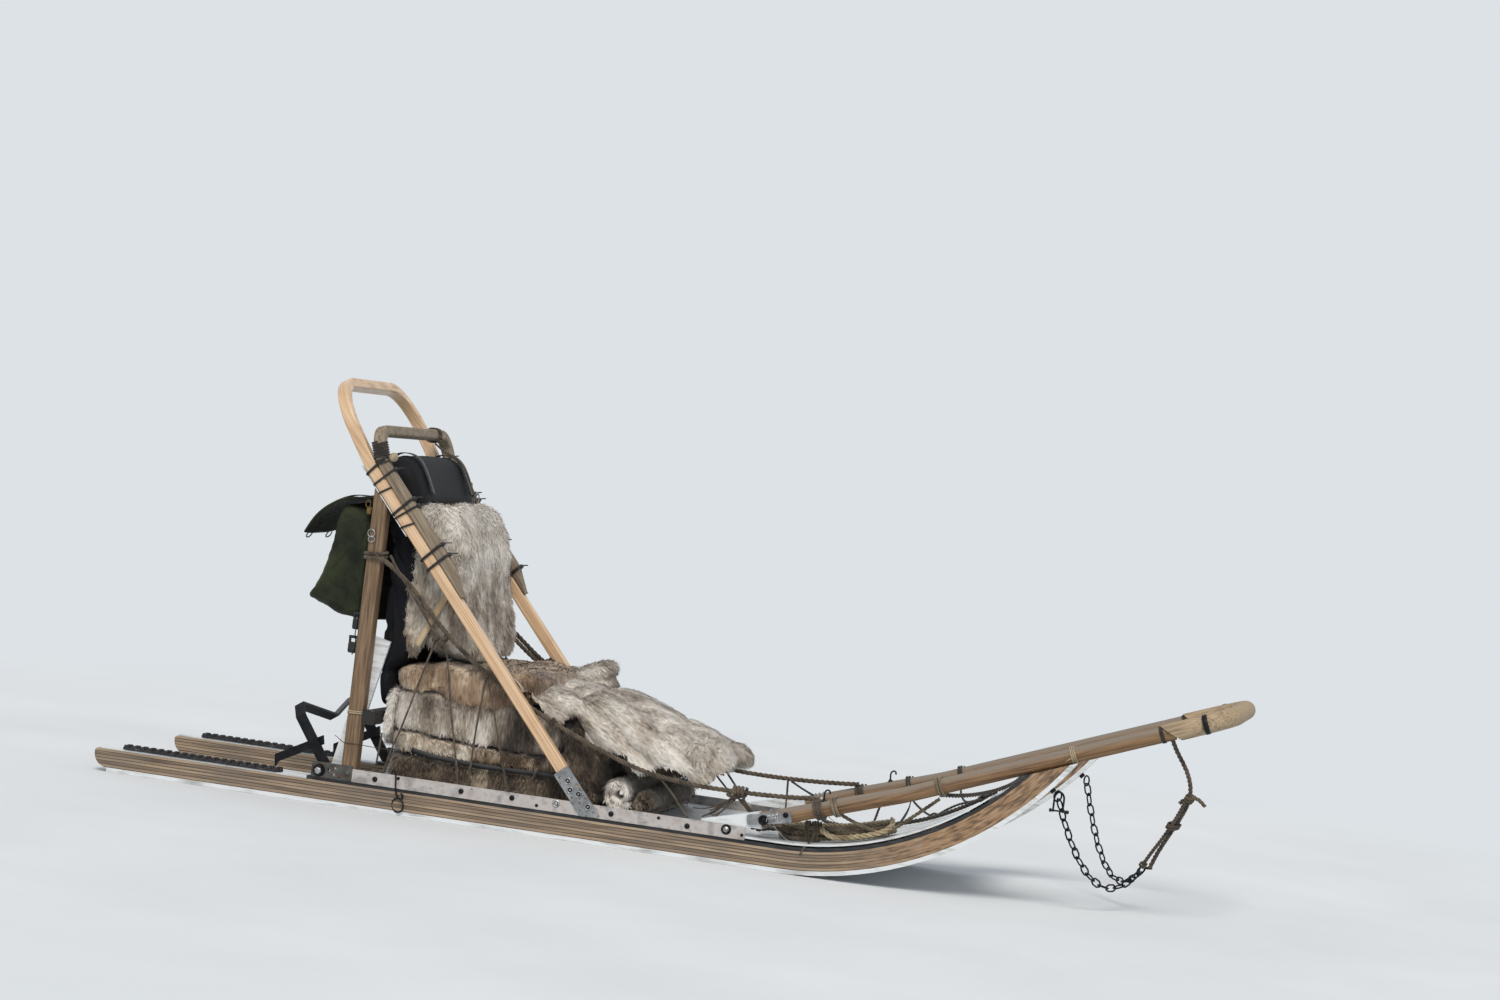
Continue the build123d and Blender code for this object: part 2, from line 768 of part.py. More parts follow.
def link_planes(start, end, count):
    """Planes of the links of a slack chain, each turned a quarter round from the last."""
    points = chain_steps(start, end, slack(start, end, count * link_pitch))
    planes = []
    travelled = 0
    for before, here in zip(points, points[1:]):
        travelled += (here - before).length
        if travelled >= link_pitch * (len(planes) + 0.5) and len(planes) < count:
            along = (here - before).normalized()
            level = along.cross(Vector(0, 0, 1)).normalized()
            across = level if len(planes) % 2 else level.cross(along)
            planes.append(Plane(origin=here, x_dir=along, z_dir=across))
    return planes


def ring_outline(radius, sides):
    """Closed ring with flat sides, drawn in sketch x and y."""
    turn = 360 / sides
    return [
        (radius * cos(radians(turn * (n + 0.5))), radius * sin(radians(turn * (n + 0.5))))
        for n in range(sides)
    ]


# One chain link, drawn round the middle of the sled's floor and placed along the chains
bar_flats = chain_wire * cos(radians(30))
link_pitch = chain_link_length - bar_flats - seat_gap
link_round = chain_link_width / 2
link_straight = chain_link_length / 2 - link_round
with BuildPart() as link:
    with BuildLine() as link_line:
        Polyline(
            (0, link_round),
            (link_straight, link_round),
            (chain_link_length / 2, link_round * link_nose),
            (chain_link_length / 2, -link_round * link_nose),
            (link_straight, -link_round),
            (-link_straight, -link_round),
            (-chain_link_length / 2, -link_round * link_nose),
            (-chain_link_length / 2, link_round * link_nose),
            (-link_straight, link_round),
            close=True,
        )
    with BuildSketch(Plane(origin=(0, link_round, 0), x_dir=(0, 0, 1), z_dir=(1, 0, 0))):
        RegularPolygon(chain_wire / 2, 6)
    sweep(transition=Transition.RIGHT)

# Bridle ring: joins both chains to the rope
with BuildPart() as bridle_ring:
    with BuildLine(Plane(origin=bridle_joint)):
        Polyline(*ring_outline(ring_radius, 12), close=True)
    ring_start = Vector(*bridle_joint) + Vector(ring_radius * cos(radians(15)), 0, 0)
    with BuildSketch(Plane(origin=ring_start, x_dir=(1, 0, 0), z_dir=(0, 1, 0))):
        RegularPolygon(ring_wire / 2, 6)
    sweep(transition=Transition.RIGHT)
bridle_ring.part.label = "bridle_ring"
export_step(bridle_ring.part, "parts/bridle_ring.step")

eye_radius = curve_radius + eye_reach
eye_x, eye_z = curve_point(eye_radius, chain_angle)
foot_x, foot_z = curve_point(curve_radius, chain_angle)
eye_turn = atan2(half_gauge, bridle_joint[0] - eye_x)
for side, sign in side_of.items():
    y = sign * half_gauge

    # Chain eye: ring bolt under the runner's curve
    with BuildPart() as chain_eye:
        stud_plane = Plane(
            origin=(foot_x, y, foot_z),
            x_dir=(0, 1, 0),
            z_dir=(eye_x - foot_x, 0, eye_z - foot_z),
        )
        with BuildSketch(stud_plane):
            Circle(stud_diameter / 2)
        extrude(amount=eye_reach - ring_radius)
        forward = Vector(cos(eye_turn), -sign * sin(eye_turn), 0)
        eye_plane = Plane(origin=(eye_x, y, eye_z), x_dir=forward, z_dir=forward.cross(Vector(0, 0, 1)))
        with BuildLine(eye_plane):
            Polyline(*ring_outline(ring_radius, 12), close=True)
        ring_start = eye_plane.origin + forward * ring_radius * cos(radians(15))
        with BuildSketch(Plane(origin=ring_start, x_dir=forward, z_dir=(0, 0, 1))):
            RegularPolygon(ring_wire / 2, 6)
        sweep(transition=Transition.RIGHT)
    chain_eye.part.label = f"chain_eye_{side}"
    export_step(chain_eye.part, f"parts/chain_eye_{side}.step")

    # Bridle chain: from the eye to the ring
    first_bar = ring_radius * cos(radians(15)) + (chain_link_length - link_pitch) / 2
    first_bar -= (ring_wire + chain_wire) / 2 + 2 * seat_gap
    eye_centre = Vector(eye_x, y, eye_z)
    ring_centre = Vector(*bridle_joint)
    hanging = chain_steps(eye_centre, ring_centre, slack(eye_centre, ring_centre, chain_count * link_pitch))
    chain_start = eye_centre + (hanging[1] - hanging[0]).normalized() * first_bar
    towards = Vector(eye_x - ring_centre.X, y, 0).normalized()
    chain_end = ring_centre + towards * first_bar + Vector(0, 0, ring_play)
    with BuildPart() as chain:
        with Locations(*link_planes(chain_start, chain_end, chain_count)):
            add(link.part)
    chain.part.label = f"chain_{side}"
    export_step(chain.part, f"parts/chain_{side}.step")

# Rope hank: loops of rope pressed flat, lying on the turned-up bed
hank_angle = degrees(asin((hank_station - curve_station) / curve_radius))
hank_floor = curve_point(curve_radius - bed_top - seat_gap, hank_angle)
with BuildPart() as rope_hank:
    with BuildSketch(side_plane(hank_y + hank_width / 2)):
        with BuildLine():
            reach = hank_length / 2 / curve_radius
            low = curve_radius - bed_top - seat_gap
            high = low - hank_thickness
            span = degrees(reach) * 2
            first = hank_angle - span / 2
            last = hank_angle + span / 2
            CenterArc(curve_centre, low, first - 90, span)
            Line(curve_point(low, last), curve_point(high, last))
            CenterArc(curve_centre, high, first - 90, span)
            Line(curve_point(high, first), curve_point(low, first))
        make_face()
    extrude(amount=hank_width)
    fillet(rope_hank.edges().filter_by(GeomType.LINE).filter_by(Axis.Y, reverse=True), hank_width / 3)
rope_hank.part.label = "rope_hank"
export_step(rope_hank.part, "parts/rope_hank.step")
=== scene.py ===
# %% [markdown]
# A dog sled, dressed in Blender. The sled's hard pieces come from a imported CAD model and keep
# their places. This lesson gives each of them a finish, and builds what a CAD solid can't say
# well: twisted rope, fur hides, padded cloth, cable ties, lashings, bolts and a perforated plate.

# %% Load the frame
import math
import random

import bmesh
import bpy
import numpy as np
from mathutils import Matrix, Vector, noise


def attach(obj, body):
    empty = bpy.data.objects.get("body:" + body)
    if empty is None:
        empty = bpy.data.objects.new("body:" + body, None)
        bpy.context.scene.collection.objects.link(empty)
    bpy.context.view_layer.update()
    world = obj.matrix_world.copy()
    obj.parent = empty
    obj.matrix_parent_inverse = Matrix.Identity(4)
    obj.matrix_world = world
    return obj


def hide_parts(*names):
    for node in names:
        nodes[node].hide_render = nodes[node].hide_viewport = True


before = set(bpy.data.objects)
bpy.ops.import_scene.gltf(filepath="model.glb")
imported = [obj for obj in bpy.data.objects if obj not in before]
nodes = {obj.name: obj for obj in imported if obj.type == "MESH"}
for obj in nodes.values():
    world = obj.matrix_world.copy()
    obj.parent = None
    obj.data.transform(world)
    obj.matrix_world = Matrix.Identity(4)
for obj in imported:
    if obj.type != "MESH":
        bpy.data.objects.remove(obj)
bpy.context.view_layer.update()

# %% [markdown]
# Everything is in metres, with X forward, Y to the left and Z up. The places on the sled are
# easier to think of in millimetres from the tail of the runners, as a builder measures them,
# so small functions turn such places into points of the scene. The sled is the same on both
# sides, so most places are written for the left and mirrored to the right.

TAIL_MM = 1340
SIDES = (("r", -1), ("l", 1))
AHEAD, LEFT, UP = (1, 0, 0), (0, 1, 0), (0, 0, 1)


def at(station, across, height):
    """A point from millimetres ahead of the tail, to the left, and up from the floor."""
    return Vector(((station - TAIL_MM) / 1000, across / 1000, height / 1000))


def to_scene(places):
    """Many such places, as points of the scene."""
    return (np.asarray(places) - (TAIL_MM, 0, 0)) / 1000


def mirrored(places, sign):
    """Places on the left side as they are, or on the right side where the sign is minus one."""
    return [(x, sign * y, z) for x, y, z in places]


def round_turn(count):
    """This many angles, evenly all the way round."""
    return np.linspace(0, math.tau, count, endpoint=False)


def keep_sign(share, power):
    """A share from -1 to 1 raised to this power, with its sign kept."""
    return math.copysign(abs(share) ** power, share)


def per_metre(size_mm):
    """How often a pattern of this size repeats in one metre, which is a texture's scale."""
    return 1000 / size_mm


# %% [markdown]
# Colours are written as sRGB hex values, the way a paint chart gives them. Cycles works in
# linear light, so one function turns every hex value to linear.

# %% Helpers for colours and nodes
def colour(code):
    """The linear colour of an sRGB hex value."""
    shares = [int(code[place : place + 2], 16) / 255 for place in (0, 2, 4)]
    linear = [s / 12.92 if s <= 0.04045 else ((s + 0.055) / 1.055) ** 2.4 for s in shares]
    return (*linear, 1.0)


def add_node(tree, kind, inputs=None, stops=(), out=0, **settings):
    """Adds a shader node and returns one of its outputs, the first if none is named.

    Inputs are values or sockets to link, and stops fill a colour ramp.
    """
    node = tree.nodes.new("ShaderNode" + kind)
    for name, value in settings.items():
        setattr(node, name, value)
    for key, value in (inputs or {}).items():
        if isinstance(value, bpy.types.NodeSocket):
            tree.links.new(value, node.inputs[key])
        else:
            node.inputs[key].default_value = value
    for number, (place, shade) in enumerate(stops):
        ramp = node.color_ramp.elements
        stop = ramp[number] if number < len(ramp) else ramp.new(place)
        stop.position = place
        stop.color = colour(shade)
    return node.outputs[out] if len(node.outputs) else None


def new_material(name, **sockets):
    """A material, its nodes, its shader with these plain sockets, and the place on the piece."""
    made = bpy.data.materials.new(name)
    made.use_nodes = True
    tree = made.node_tree
    tree.nodes.clear()
    shader = add_node(tree, "BsdfPrincipled").node
    for socket, value in sockets.items():
        shader.inputs[socket.replace("_", " ").capitalize()].default_value = value
    add_node(tree, "OutputMaterial", {"Surface": shader.outputs[0]})
    return made, tree, shader, add_node(tree, "TexCoord", out="Object")


def colour_and_bump(tree, shader, shade, height, depth_mm):
    """Gives the shader its colour and a bump of this depth."""
    tree.links.new(shade, shader.inputs["Base Color"])
    bump = add_node(tree, "Bump", {"Height": height, "Distance": depth_mm / 1000})
    tree.links.new(bump, shader.inputs["Normal"])


# %% [markdown]
# The runners are bent birch laminate: thin veneers glued one on another, so their sides show
# fine dark glue lines that follow the curve. Stripes across plain X or Z would cut through the
# curved front, so the pattern is drawn on two lengths of its own: how far a point is from the
# centre of the bend, and how far along the bend it lies. Oil and wet weather leave the birch
# grey-brown with darker stains.

# %% Birch laminate of the runners
CURVE_STATION, CURVE_RADIUS = 1677, 800
CURVE_START = at(CURVE_STATION, 0, 0).x
CURVE_CENTRE_UP = CURVE_RADIUS / 1000
RUNNER_RADIUS = 0.78
VENEER_MM, GRAIN_MM, CHIP_MM = 7.3, 2.2, 4
WORN_FROM, WORN_TO = 0.08, 0.4


def birch_laminate():
    """Oiled birch veneers, weathered grey, with dark glue lines between them."""
    made, tree, shader, place = new_material("birch_laminate", roughness=0.62)
    part = add_node(tree, "SeparateXYZ", {0: place}).node.outputs
    past = add_node(tree, "Math", {0: part[0], 1: CURVE_START}, operation="SUBTRACT")
    ahead = add_node(tree, "Math", {0: past, 1: 0.0}, operation="MAXIMUM")
    behind = add_node(tree, "Math", {0: past, 1: 0.0}, operation="MINIMUM")
    down = add_node(tree, "Math", {0: CURVE_CENTRE_UP, 1: part[2]}, operation="SUBTRACT")
    turn = add_node(tree, "Math", {0: ahead, 1: down}, operation="ARCTAN2")
    along = add_node(
        tree, "Math", {0: turn, 1: RUNNER_RADIUS, 2: behind}, operation="MULTIPLY_ADD"
    )
    square = add_node(tree, "Math", {0: down, 1: down}, operation="MULTIPLY")
    sum_of = add_node(tree, "Math", {0: ahead, 1: ahead, 2: square}, operation="MULTIPLY_ADD")
    radius = add_node(tree, "Math", {0: sum_of, 1: 0.5}, operation="POWER")
    bent = add_node(tree, "CombineXYZ", {0: along, 1: part[1], 2: radius})
    veneer = add_node(tree, "Math", {0: radius, 1: per_metre(VENEER_MM)}, operation="MULTIPLY")
    edge = add_node(tree, "Math", {0: veneer}, operation="FRACT")
    layer = add_node(tree, "Math", {0: veneer}, operation="FLOOR")
    tone = add_node(tree, "TexWhiteNoise", {"W": layer}, noise_dimensions="1D")
    stretch = add_node(tree, "Mapping", {0: bent, "Scale": (9, 120, per_metre(GRAIN_MM))})
    grain = add_node(tree, "TexNoise", {"Vector": stretch, "Scale": 1.0, "Detail": 6.0})
    stain = add_node(tree, "TexNoise", {"Vector": bent, "Scale": 9.0, "Detail": 5.0})
    mixed = add_node(tree, "Math", {0: tone, 1: 0.35, 2: grain}, operation="MULTIPLY_ADD")
    wood = add_node(
        tree, "ValToRGB", {0: mixed},
        stops=[(0.36, "483D34"), (0.55, "7C6C5A"), (0.74, "9E8A73"), (0.98, "B5A28B")],
    )
    grey = add_node(tree, "ValToRGB", {0: stain}, stops=[(0.42, "000000"), (0.66, "C8C8C8")])
    worn = add_node(tree, "Mix", {0: grey, 6: wood, 7: colour("756B61")}, data_type="RGBA", out=2)
    glue = add_node(
        tree, "ValToRGB", {0: edge}, stops=[(0.0, "FFFFFF"), (0.15, "FFFFFF"), (0.26, "000000")]
    )
    lined = add_node(tree, "Mix", {0: glue, 6: worn, 7: colour("3F3328")}, data_type="RGBA", out=2)
    chip = add_node(tree, "Mapping", {0: bent, "Scale": (40, 90, per_metre(CHIP_MM))})
    chips = add_node(tree, "TexNoise", {"Vector": chip, "Scale": 1.0, "Detail": 5.0})
    bare = add_node(
        tree, "ValToRGB", {0: chips},
        stops=[(0.36, "4E3C2E"), (0.48, "8A6C4E"), (0.6, "A88560"), (0.74, "9A9792")],
    )
    front = add_node(tree, "MapRange", {0: along, 1: WORN_FROM, 2: WORN_TO, 3: 0.0, 4: 0.8})
    scoured = add_node(tree, "Mix", {0: front, 6: lined, 7: bare}, data_type="RGBA", out=2)
    colour_and_bump(tree, shader, scoured, grain, 0.5)
    return made


# %% [markdown]
# The older wood, the posts, the poles and the bow that lies on the new one, is ash that has
# stood outside for years: the soft grain washes out and leaves silvery ridges with dark cracks.
# A texture stretched along the piece gives both, so this function takes the way that the
# piece's grain runs, as an angle above the floor.

# %% Weathered wood
def weathered_wood(name, rise, light, middle, dark, top=None):
    """Bare wood with its grain at this angle. Top is the colour of the sides that face up."""
    made, tree, shader, place = new_material(name, roughness=0.72)
    turned = add_node(
        tree, "Mapping",
        {0: place, "Rotation": (0, -math.radians(rise), 0), "Scale": (0.11, 0.0045, 0.0045)},
        vector_type="TEXTURE",
    )
    grain = add_node(
        tree, "TexNoise", {"Vector": turned, "Scale": 1.0, "Detail": 8.0, "Distortion": 0.4}
    )
    blotch = add_node(tree, "TexNoise", {"Vector": place, "Scale": per_metre(45), "Detail": 4.0})
    wood = add_node(
        tree, "ValToRGB", {0: grain},
        stops=[(0.33, dark), (0.45, middle), (0.58, light), (0.8, light)],
    )
    stained = add_node(
        tree, "Mix", {0: blotch, 6: wood, 7: colour(middle)}, data_type="RGBA", out=2
    )
    # The sides that face up are mixed towards the top colour, which is greyer
    if top:
        facing = add_node(tree, "SeparateXYZ", {0: add_node(tree, "NewGeometry", out="Normal")})
        up_facing_share = add_node(
            tree, "MapRange", {0: facing.node.outputs[2], 1: 0.0, 2: 0.7, 3: 0.0, 4: 0.85}
        )
        stained = add_node(
            tree, "Mix", {0: up_facing_share, 6: stained, 7: colour(top)}, data_type="RGBA", out=2
        )
    colour_and_bump(tree, shader, stained, grain, 1.2)
    return made


# %% [markdown]
# The new handle bow is pale birch, planed and oiled, laminated like the runners but clean.
# Its lines run along the legs, which rise at about fifty degrees.

# %% Pale bent birch
LEG_RISE = math.radians(130.6)


def bent_birch():
    """Clean oiled birch with faint grain and two thin glue lines along the leg."""
    made, tree, shader, place = new_material("oiled_birch", roughness=0.38)
    shader.inputs["Coat Weight"].default_value = 0.15
    turned = add_node(
        tree, "Mapping",
        {0: place, "Rotation": (0, -LEG_RISE, 0), "Scale": (0.16, 0.05, 0.0022)},
        vector_type="TEXTURE",
    )
    grain = add_node(tree, "TexNoise", {"Vector": turned, "Scale": 1.0, "Detail": 6.0})
    blotch = add_node(tree, "TexNoise", {"Vector": place, "Scale": per_metre(60), "Detail": 5.0})
    wood = add_node(
        tree, "ValToRGB", {0: grain}, stops=[(0.3, "B28C66"), (0.48, "D0AF8B"), (0.7, "E2C8A8")]
    )
    dirty = add_node(tree, "ValToRGB", {0: blotch}, stops=[(0.5, "000000"), (0.75, "8C8C8C")])
    oiled = add_node(tree, "Mix", {0: dirty, 6: wood, 7: colour("A97B4E")}, data_type="RGBA", out=2)
    colour_and_bump(tree, shader, oiled, grain, 0.25)
    return made


# %% [markdown]
# The braces, wedges, bed and glide shoes are cut from white high-density polyethylene sheet.
# It is slightly waxy, never bright white, and picks up grey scuffs and fine scratches. The
# black strips on the runners are the same plastic with carbon black in it.

# %% Polyethylene sheet
def polyethylene(name, clean, scuffed, rough):
    """Sawn plastic sheet with scuffs and long scratches."""
    made, tree, shader, place = new_material(name, roughness=rough)
    long_way = add_node(tree, "Mapping", {0: place, "Scale": (14, 160, 160)})
    scratch = add_node(tree, "TexNoise", {"Vector": long_way, "Scale": 1.0, "Detail": 4.0})
    smear = add_node(tree, "TexNoise", {"Vector": place, "Scale": per_metre(70), "Detail": 6.0})
    amount = add_node(tree, "Math", {0: scratch, 1: smear}, operation="MULTIPLY")
    mask = add_node(tree, "ValToRGB", {0: amount}, stops=[(0.22, "000000"), (0.42, "FFFFFF")])
    shade = add_node(
        tree, "Mix", {0: mask, 6: colour(clean), 7: colour(scuffed)}, data_type="RGBA", out=2
    )
    colour_and_bump(tree, shader, shade, scratch, 0.15)
    return made


# %% [markdown]
# Metals. The side rails are aluminium angle under an off-white paint that has chipped down to
# grey metal and dirt. The plates and brackets are bare: aluminium dulls to an even grey, and
# the steel rusts in small specks. The brake, the chains and the rings are forged steel with a
# black finish, worn to bright steel only where they rub.

# %% Metals
def chipped_paint():
    """Off-white paint on aluminium, with chips, faint warm stains and grey rubs."""
    made, tree, shader, place = new_material("chipped_painted_aluminium", roughness=0.5)
    chips = add_node(
        tree, "TexNoise",
        {"Vector": place, "Scale": per_metre(9), "Detail": 10.0, "Roughness": 0.7},
    )
    cloud = add_node(tree, "TexNoise", {"Vector": place, "Scale": per_metre(38), "Detail": 6.0})
    paint = add_node(
        tree, "ValToRGB", {0: cloud},
        stops=[(0.35, "8F8B89"), (0.5, "B9B5B3"), (0.62, "ADA5A1"), (0.75, "837E7B")],
    )
    mask = add_node(
        tree, "ValToRGB", {0: chips}, stops=[(0.0, "FFFFFF"), (0.36, "FFFFFF"), (0.39, "000000")]
    )
    shade = add_node(tree, "Mix", {0: mask, 6: paint, 7: colour("4E453E")}, data_type="RGBA", out=2)
    colour_and_bump(tree, shader, shade, chips, 0.3)
    return made


def bare_metal(name, light, dark, rust, rust_share, rough, metallic):
    """Dull bare metal with brushed tones and specks of rust or dirt."""
    made, tree, shader, place = new_material(name, roughness=rough, metallic=metallic)
    tone = add_node(tree, "TexNoise", {"Vector": place, "Scale": per_metre(24), "Detail": 8.0})
    speck = add_node(tree, "TexNoise", {"Vector": place, "Scale": per_metre(5), "Detail": 8.0})
    metal = add_node(tree, "ValToRGB", {0: tone}, stops=[(0.35, dark), (0.65, light)])
    mask = add_node(
        tree, "ValToRGB", {0: speck},
        stops=[(0.9 - rust_share, "000000"), (1 - rust_share, "FFFFFF")],
    )
    shade = add_node(tree, "Mix", {0: mask, 6: metal, 7: colour(rust)}, data_type="RGBA", out=2)
    colour_and_bump(tree, shader, shade, speck, 0.25)
    return made


# %% [markdown]
# Rope is laid from three strands that twist round each other. The twist is real geometry, made
# further down, so its material only needs the colour of the fibres: lighter and darker along
# each strand, with fibres that are finer than a millimetre drawn at 1.6 mm, so that they show.

# %% Fibres: rope, cloth and rubber
def rope_fibre(name, light, dark):
    """Hard-laid fibre rope, weathered and a little fuzzy."""
    made, tree, shader, place = new_material(name, roughness=0.9)
    shader.inputs["Sheen Weight"].default_value = 0.25
    fibre = add_node(tree, "TexNoise", {"Vector": place, "Scale": per_metre(1.6), "Detail": 3.0})
    dirt = add_node(tree, "TexNoise", {"Vector": place, "Scale": per_metre(30), "Detail": 5.0})
    amount = add_node(tree, "Math", {0: fibre, 1: 0.4, 2: dirt}, operation="MULTIPLY_ADD")
    shade = add_node(tree, "ValToRGB", {0: amount}, stops=[(0.5, dark), (0.85, light)])
    colour_and_bump(tree, shader, shade, fibre, 0.4)
    return made


# A wave texture of scale 1 repeats every tenth of pi
WAVE_SHARE = math.pi / 10


def woven_cloth(name, light, dark, thread_mm, rough):
    """Plain-woven cloth: threads at this spacing across each other, with faded patches."""
    made, tree, shader, place = new_material(name, roughness=rough)
    shader.inputs["Sheen Weight"].default_value = 0.03
    shader.inputs["Specular IOR Level"].default_value = 0.22
    thread = {
        "Vector": place, "Scale": per_metre(thread_mm) * WAVE_SHARE,
        "Distortion": 0.6, "Detail": 2.0,
    }
    threads = [
        add_node(tree, "TexWave", thread, bands_direction=axis, out="Fac") for axis in "XYZ"
    ]
    crossed = add_node(tree, "Math", {0: threads[0], 1: threads[2]}, operation="MULTIPLY")
    weave = add_node(tree, "Math", {0: crossed, 1: threads[1]}, operation="MULTIPLY")
    fade = add_node(tree, "TexNoise", {"Vector": place, "Scale": per_metre(80), "Detail": 5.0})
    amount = add_node(tree, "Math", {0: weave, 1: 0.25, 2: fade}, operation="MULTIPLY_ADD")
    shade = add_node(tree, "ValToRGB", {0: amount}, stops=[(0.4, dark), (0.75, light)])
    colour_and_bump(tree, shader, shade, weave, 0.35)
    return made


def moulded_rubber():
    """Black rubber, dusty grey in its hollows."""
    made, tree, shader, place = new_material("lugged_rubber", roughness=0.75)
    dust = add_node(tree, "TexNoise", {"Vector": place, "Scale": per_metre(14), "Detail": 8.0})
    shade = add_node(
        tree, "ValToRGB", {0: dust}, stops=[(0.4, "17171A"), (0.6, "2B2B2E"), (0.75, "55565A")]
    )
    colour_and_bump(tree, shader, shade, dust, 0.4)
    return made


# %% [markdown]
# Reindeer fur is dense and short, pale at the root side of white animals and grey to brown on
# the back. The hairs are real blades of geometry, made further down, so this material colours
# both the blades and the skin under them: soft patches of cream, grey and brown by place, and
# a finer change from hair to hair. A list of spots, larger than those patches, makes the coat
# lighter or darker round a few places, seen from the side.

# %% Fur and suede
def reindeer_fur(name, stops, patch_mm, spots=(), lean=90):
    """Fur in patches of this size, whose hair runs at this angle below level.

    A spot is a station, a height, a reach and how much lighter it is.
    """
    made, tree, shader, place = new_material(name, roughness=0.85)
    shader.inputs["Sheen Weight"].default_value = 0.35
    combed = add_node(
        tree, "VectorRotate", {"Vector": place, "Angle": math.radians(-lean)},
        rotation_type="Y_AXIS",
    )
    long = add_node(tree, "VectorMath", {0: combed, 1: (0.5, 0.7, 1)}, operation="MULTIPLY")
    fine = add_node(tree, "VectorMath", {0: combed, 1: (0.25, 0.8, 1)}, operation="MULTIPLY")
    patch = add_node(
        tree, "TexNoise", {"Vector": long, "Scale": per_metre(patch_mm), "Detail": 3.0}
    )
    hair = add_node(tree, "TexNoise", {"Vector": fine, "Scale": per_metre(5), "Detail": 5.0})
    spread = add_node(tree, "Math", {0: hair, 1: 0.55, 2: patch}, operation="MULTIPLY_ADD")
    ragged = add_node(tree, "Math", {0: patch, 1: 0.09}, operation="MULTIPLY")
    for station, height, reach, lighter in spots:
        spot = at(station, 0, height)
        off = add_node(tree, "VectorMath", {0: place, 1: spot}, operation="SUBTRACT")
        flat = add_node(tree, "VectorMath", {0: off, 1: (1, 0.12, 1)}, operation="MULTIPLY")
        away = add_node(tree, "VectorMath", {0: flat}, operation="LENGTH", out="Value")
        rough = add_node(tree, "Math", {0: away, 1: ragged}, operation="ADD")
        amount = add_node(
            tree, "MapRange", {0: rough, 1: 0.04, 2: 0.045 + reach / 1000, 3: lighter, 4: 0.0},
            interpolation_type="SMOOTHSTEP",
        )
        spread = add_node(tree, "Math", {0: spread, 1: amount}, operation="ADD")
    shade = add_node(tree, "ValToRGB", {0: spread}, stops=stops)
    colour_and_bump(tree, shader, shade, hair, 0.8)
    return made

# %% [markdown]
# Every finish is made once and kept under a short name. Each piece then asks for its finish by
# that name. Some finishes differ only in their colours and sizes, so those share a function.

# %% Finishes
finishes = {
    "laminated_birch": birch_laminate(),
    "oiled_birch": bent_birch(),
    "post_wood": weathered_wood("weathered_ash_post", 90, "917A60", "6B5640", "30251C"),
    "pole_wood": weathered_wood("weathered_ash_pole", 21, "9A7B57", "75583C", "30231A", "827A70"),
    "old_bow_wood": weathered_wood("weathered_ash_bow", 130, "A39684", "7B6D5B", "41362B"),
    "nose_wood": weathered_wood("polished_ash_nose", 21, "BDAA8C", "9A866B", "57483A"),
    "slat_wood": weathered_wood("weathered_ash_slat", 0, "8C7B66", "66573F", "33281F"),
    "black_wood": weathered_wood("tarred_wood", 0, "2A2928", "1B1A1A", "0E0E0E"),
    "white_polyethylene": polyethylene("white_polyethylene", "DCE1E4", "A9ABAB", 0.42),
    "black_polyethylene": polyethylene("black_polyethylene", "1D1E20", "3C3D40", 0.5),
    "painted_aluminium": chipped_paint(),
    "bare_aluminium": bare_metal("dull_aluminium", "A3A6A8", "7C8083", "6E4A33", 0.3, 0.45, 0.75),
    "galvanised_steel": bare_metal(
        "galvanised_steel", "5D6563", "3F4645", "6B3B20", 0.38, 0.55, 0.6
    ),
    "dark_steel": bare_metal("blackened_steel", "232427", "121315", "4A2F20", 0.25, 0.5, 0.7),
    "bright_steel": bare_metal("zinc_plated_steel", "B4B6B7", "7D7F81", "6E4A33", 0.3, 0.38, 0.85),
    "brass": bare_metal("dull_brass", "8A7446", "5C4A2A", "3A2E1C", 0.3, 0.45, 0.8),
    "brown_rope": rope_fibre("weathered_sisal", "635646", "2C251D"),
    "dark_rope": rope_fibre("tarred_cord", "3A322A", "171411"),
    "aged_rope": rope_fibre("aged_hemp", "8C7E66", "4A4133"),
    "pale_rope": rope_fibre("pale_hemp", "BCAD8D", "776A52"),
    "navy_fabric": woven_cloth("navy_coated_nylon", "0E121B", "06070B", 3.6, 0.7),
    "olive_canvas": woven_cloth("waxed_olive_canvas", "333A24", "14180F", 4.0, 0.7),
    "black_rubber": moulded_rubber(),
    "black_nylon": polyethylene("black_nylon", "141416", "2B2B2D", 0.45),
    "suede": woven_cloth("tanned_suede", "8A6E50", "4E3C2B", 6.0, 0.9),
    "rawhide": woven_cloth("pale_rawhide", "CDBA9C", "A58E70", 6.0, 0.8),
}
print("plain finishes", len(finishes))

# %% Finishes of the furs
# Colours from the darkest hair to the lightest and where each stands, patch size and hair's lean
furs = {
    "back": ("504336 918373 BBB2A5 E0DBD3", (0.46, 0.64, 0.8, 1.0), 45, 90),
    "lobe": ("7B6F62 ADA498 D3CEC6 E6E3DE", (0.48, 0.62, 0.8, 1.0), 70, 90),
    "front": ("4E4237 8F8477 BDB5AA E2DED7", (0.46, 0.62, 0.79, 0.98), 46, 31),
    "white": ("766A5D B2A89C D5CFC7 E8E5E0", (0.43, 0.57, 0.72, 0.94), 60, 90),
    "lip": ("4E3E30 7A6450 9A846C C2B29C", (0.5, 0.68, 0.84, 1.0), 40, 90),
    "block": ("2E2823 5E5348 958A7D D0CAC1", (0.42, 0.6, 0.78, 0.98), 60, 90),
    "band": ("463626 84705A B3A592 DDD7CC", (0.45, 0.6, 0.76, 0.98), 34, 90),
    "brown": ("211A15 43382E 6E604F A99B87", (0.5, 0.7, 0.86, 1.0), 46, 90),
}
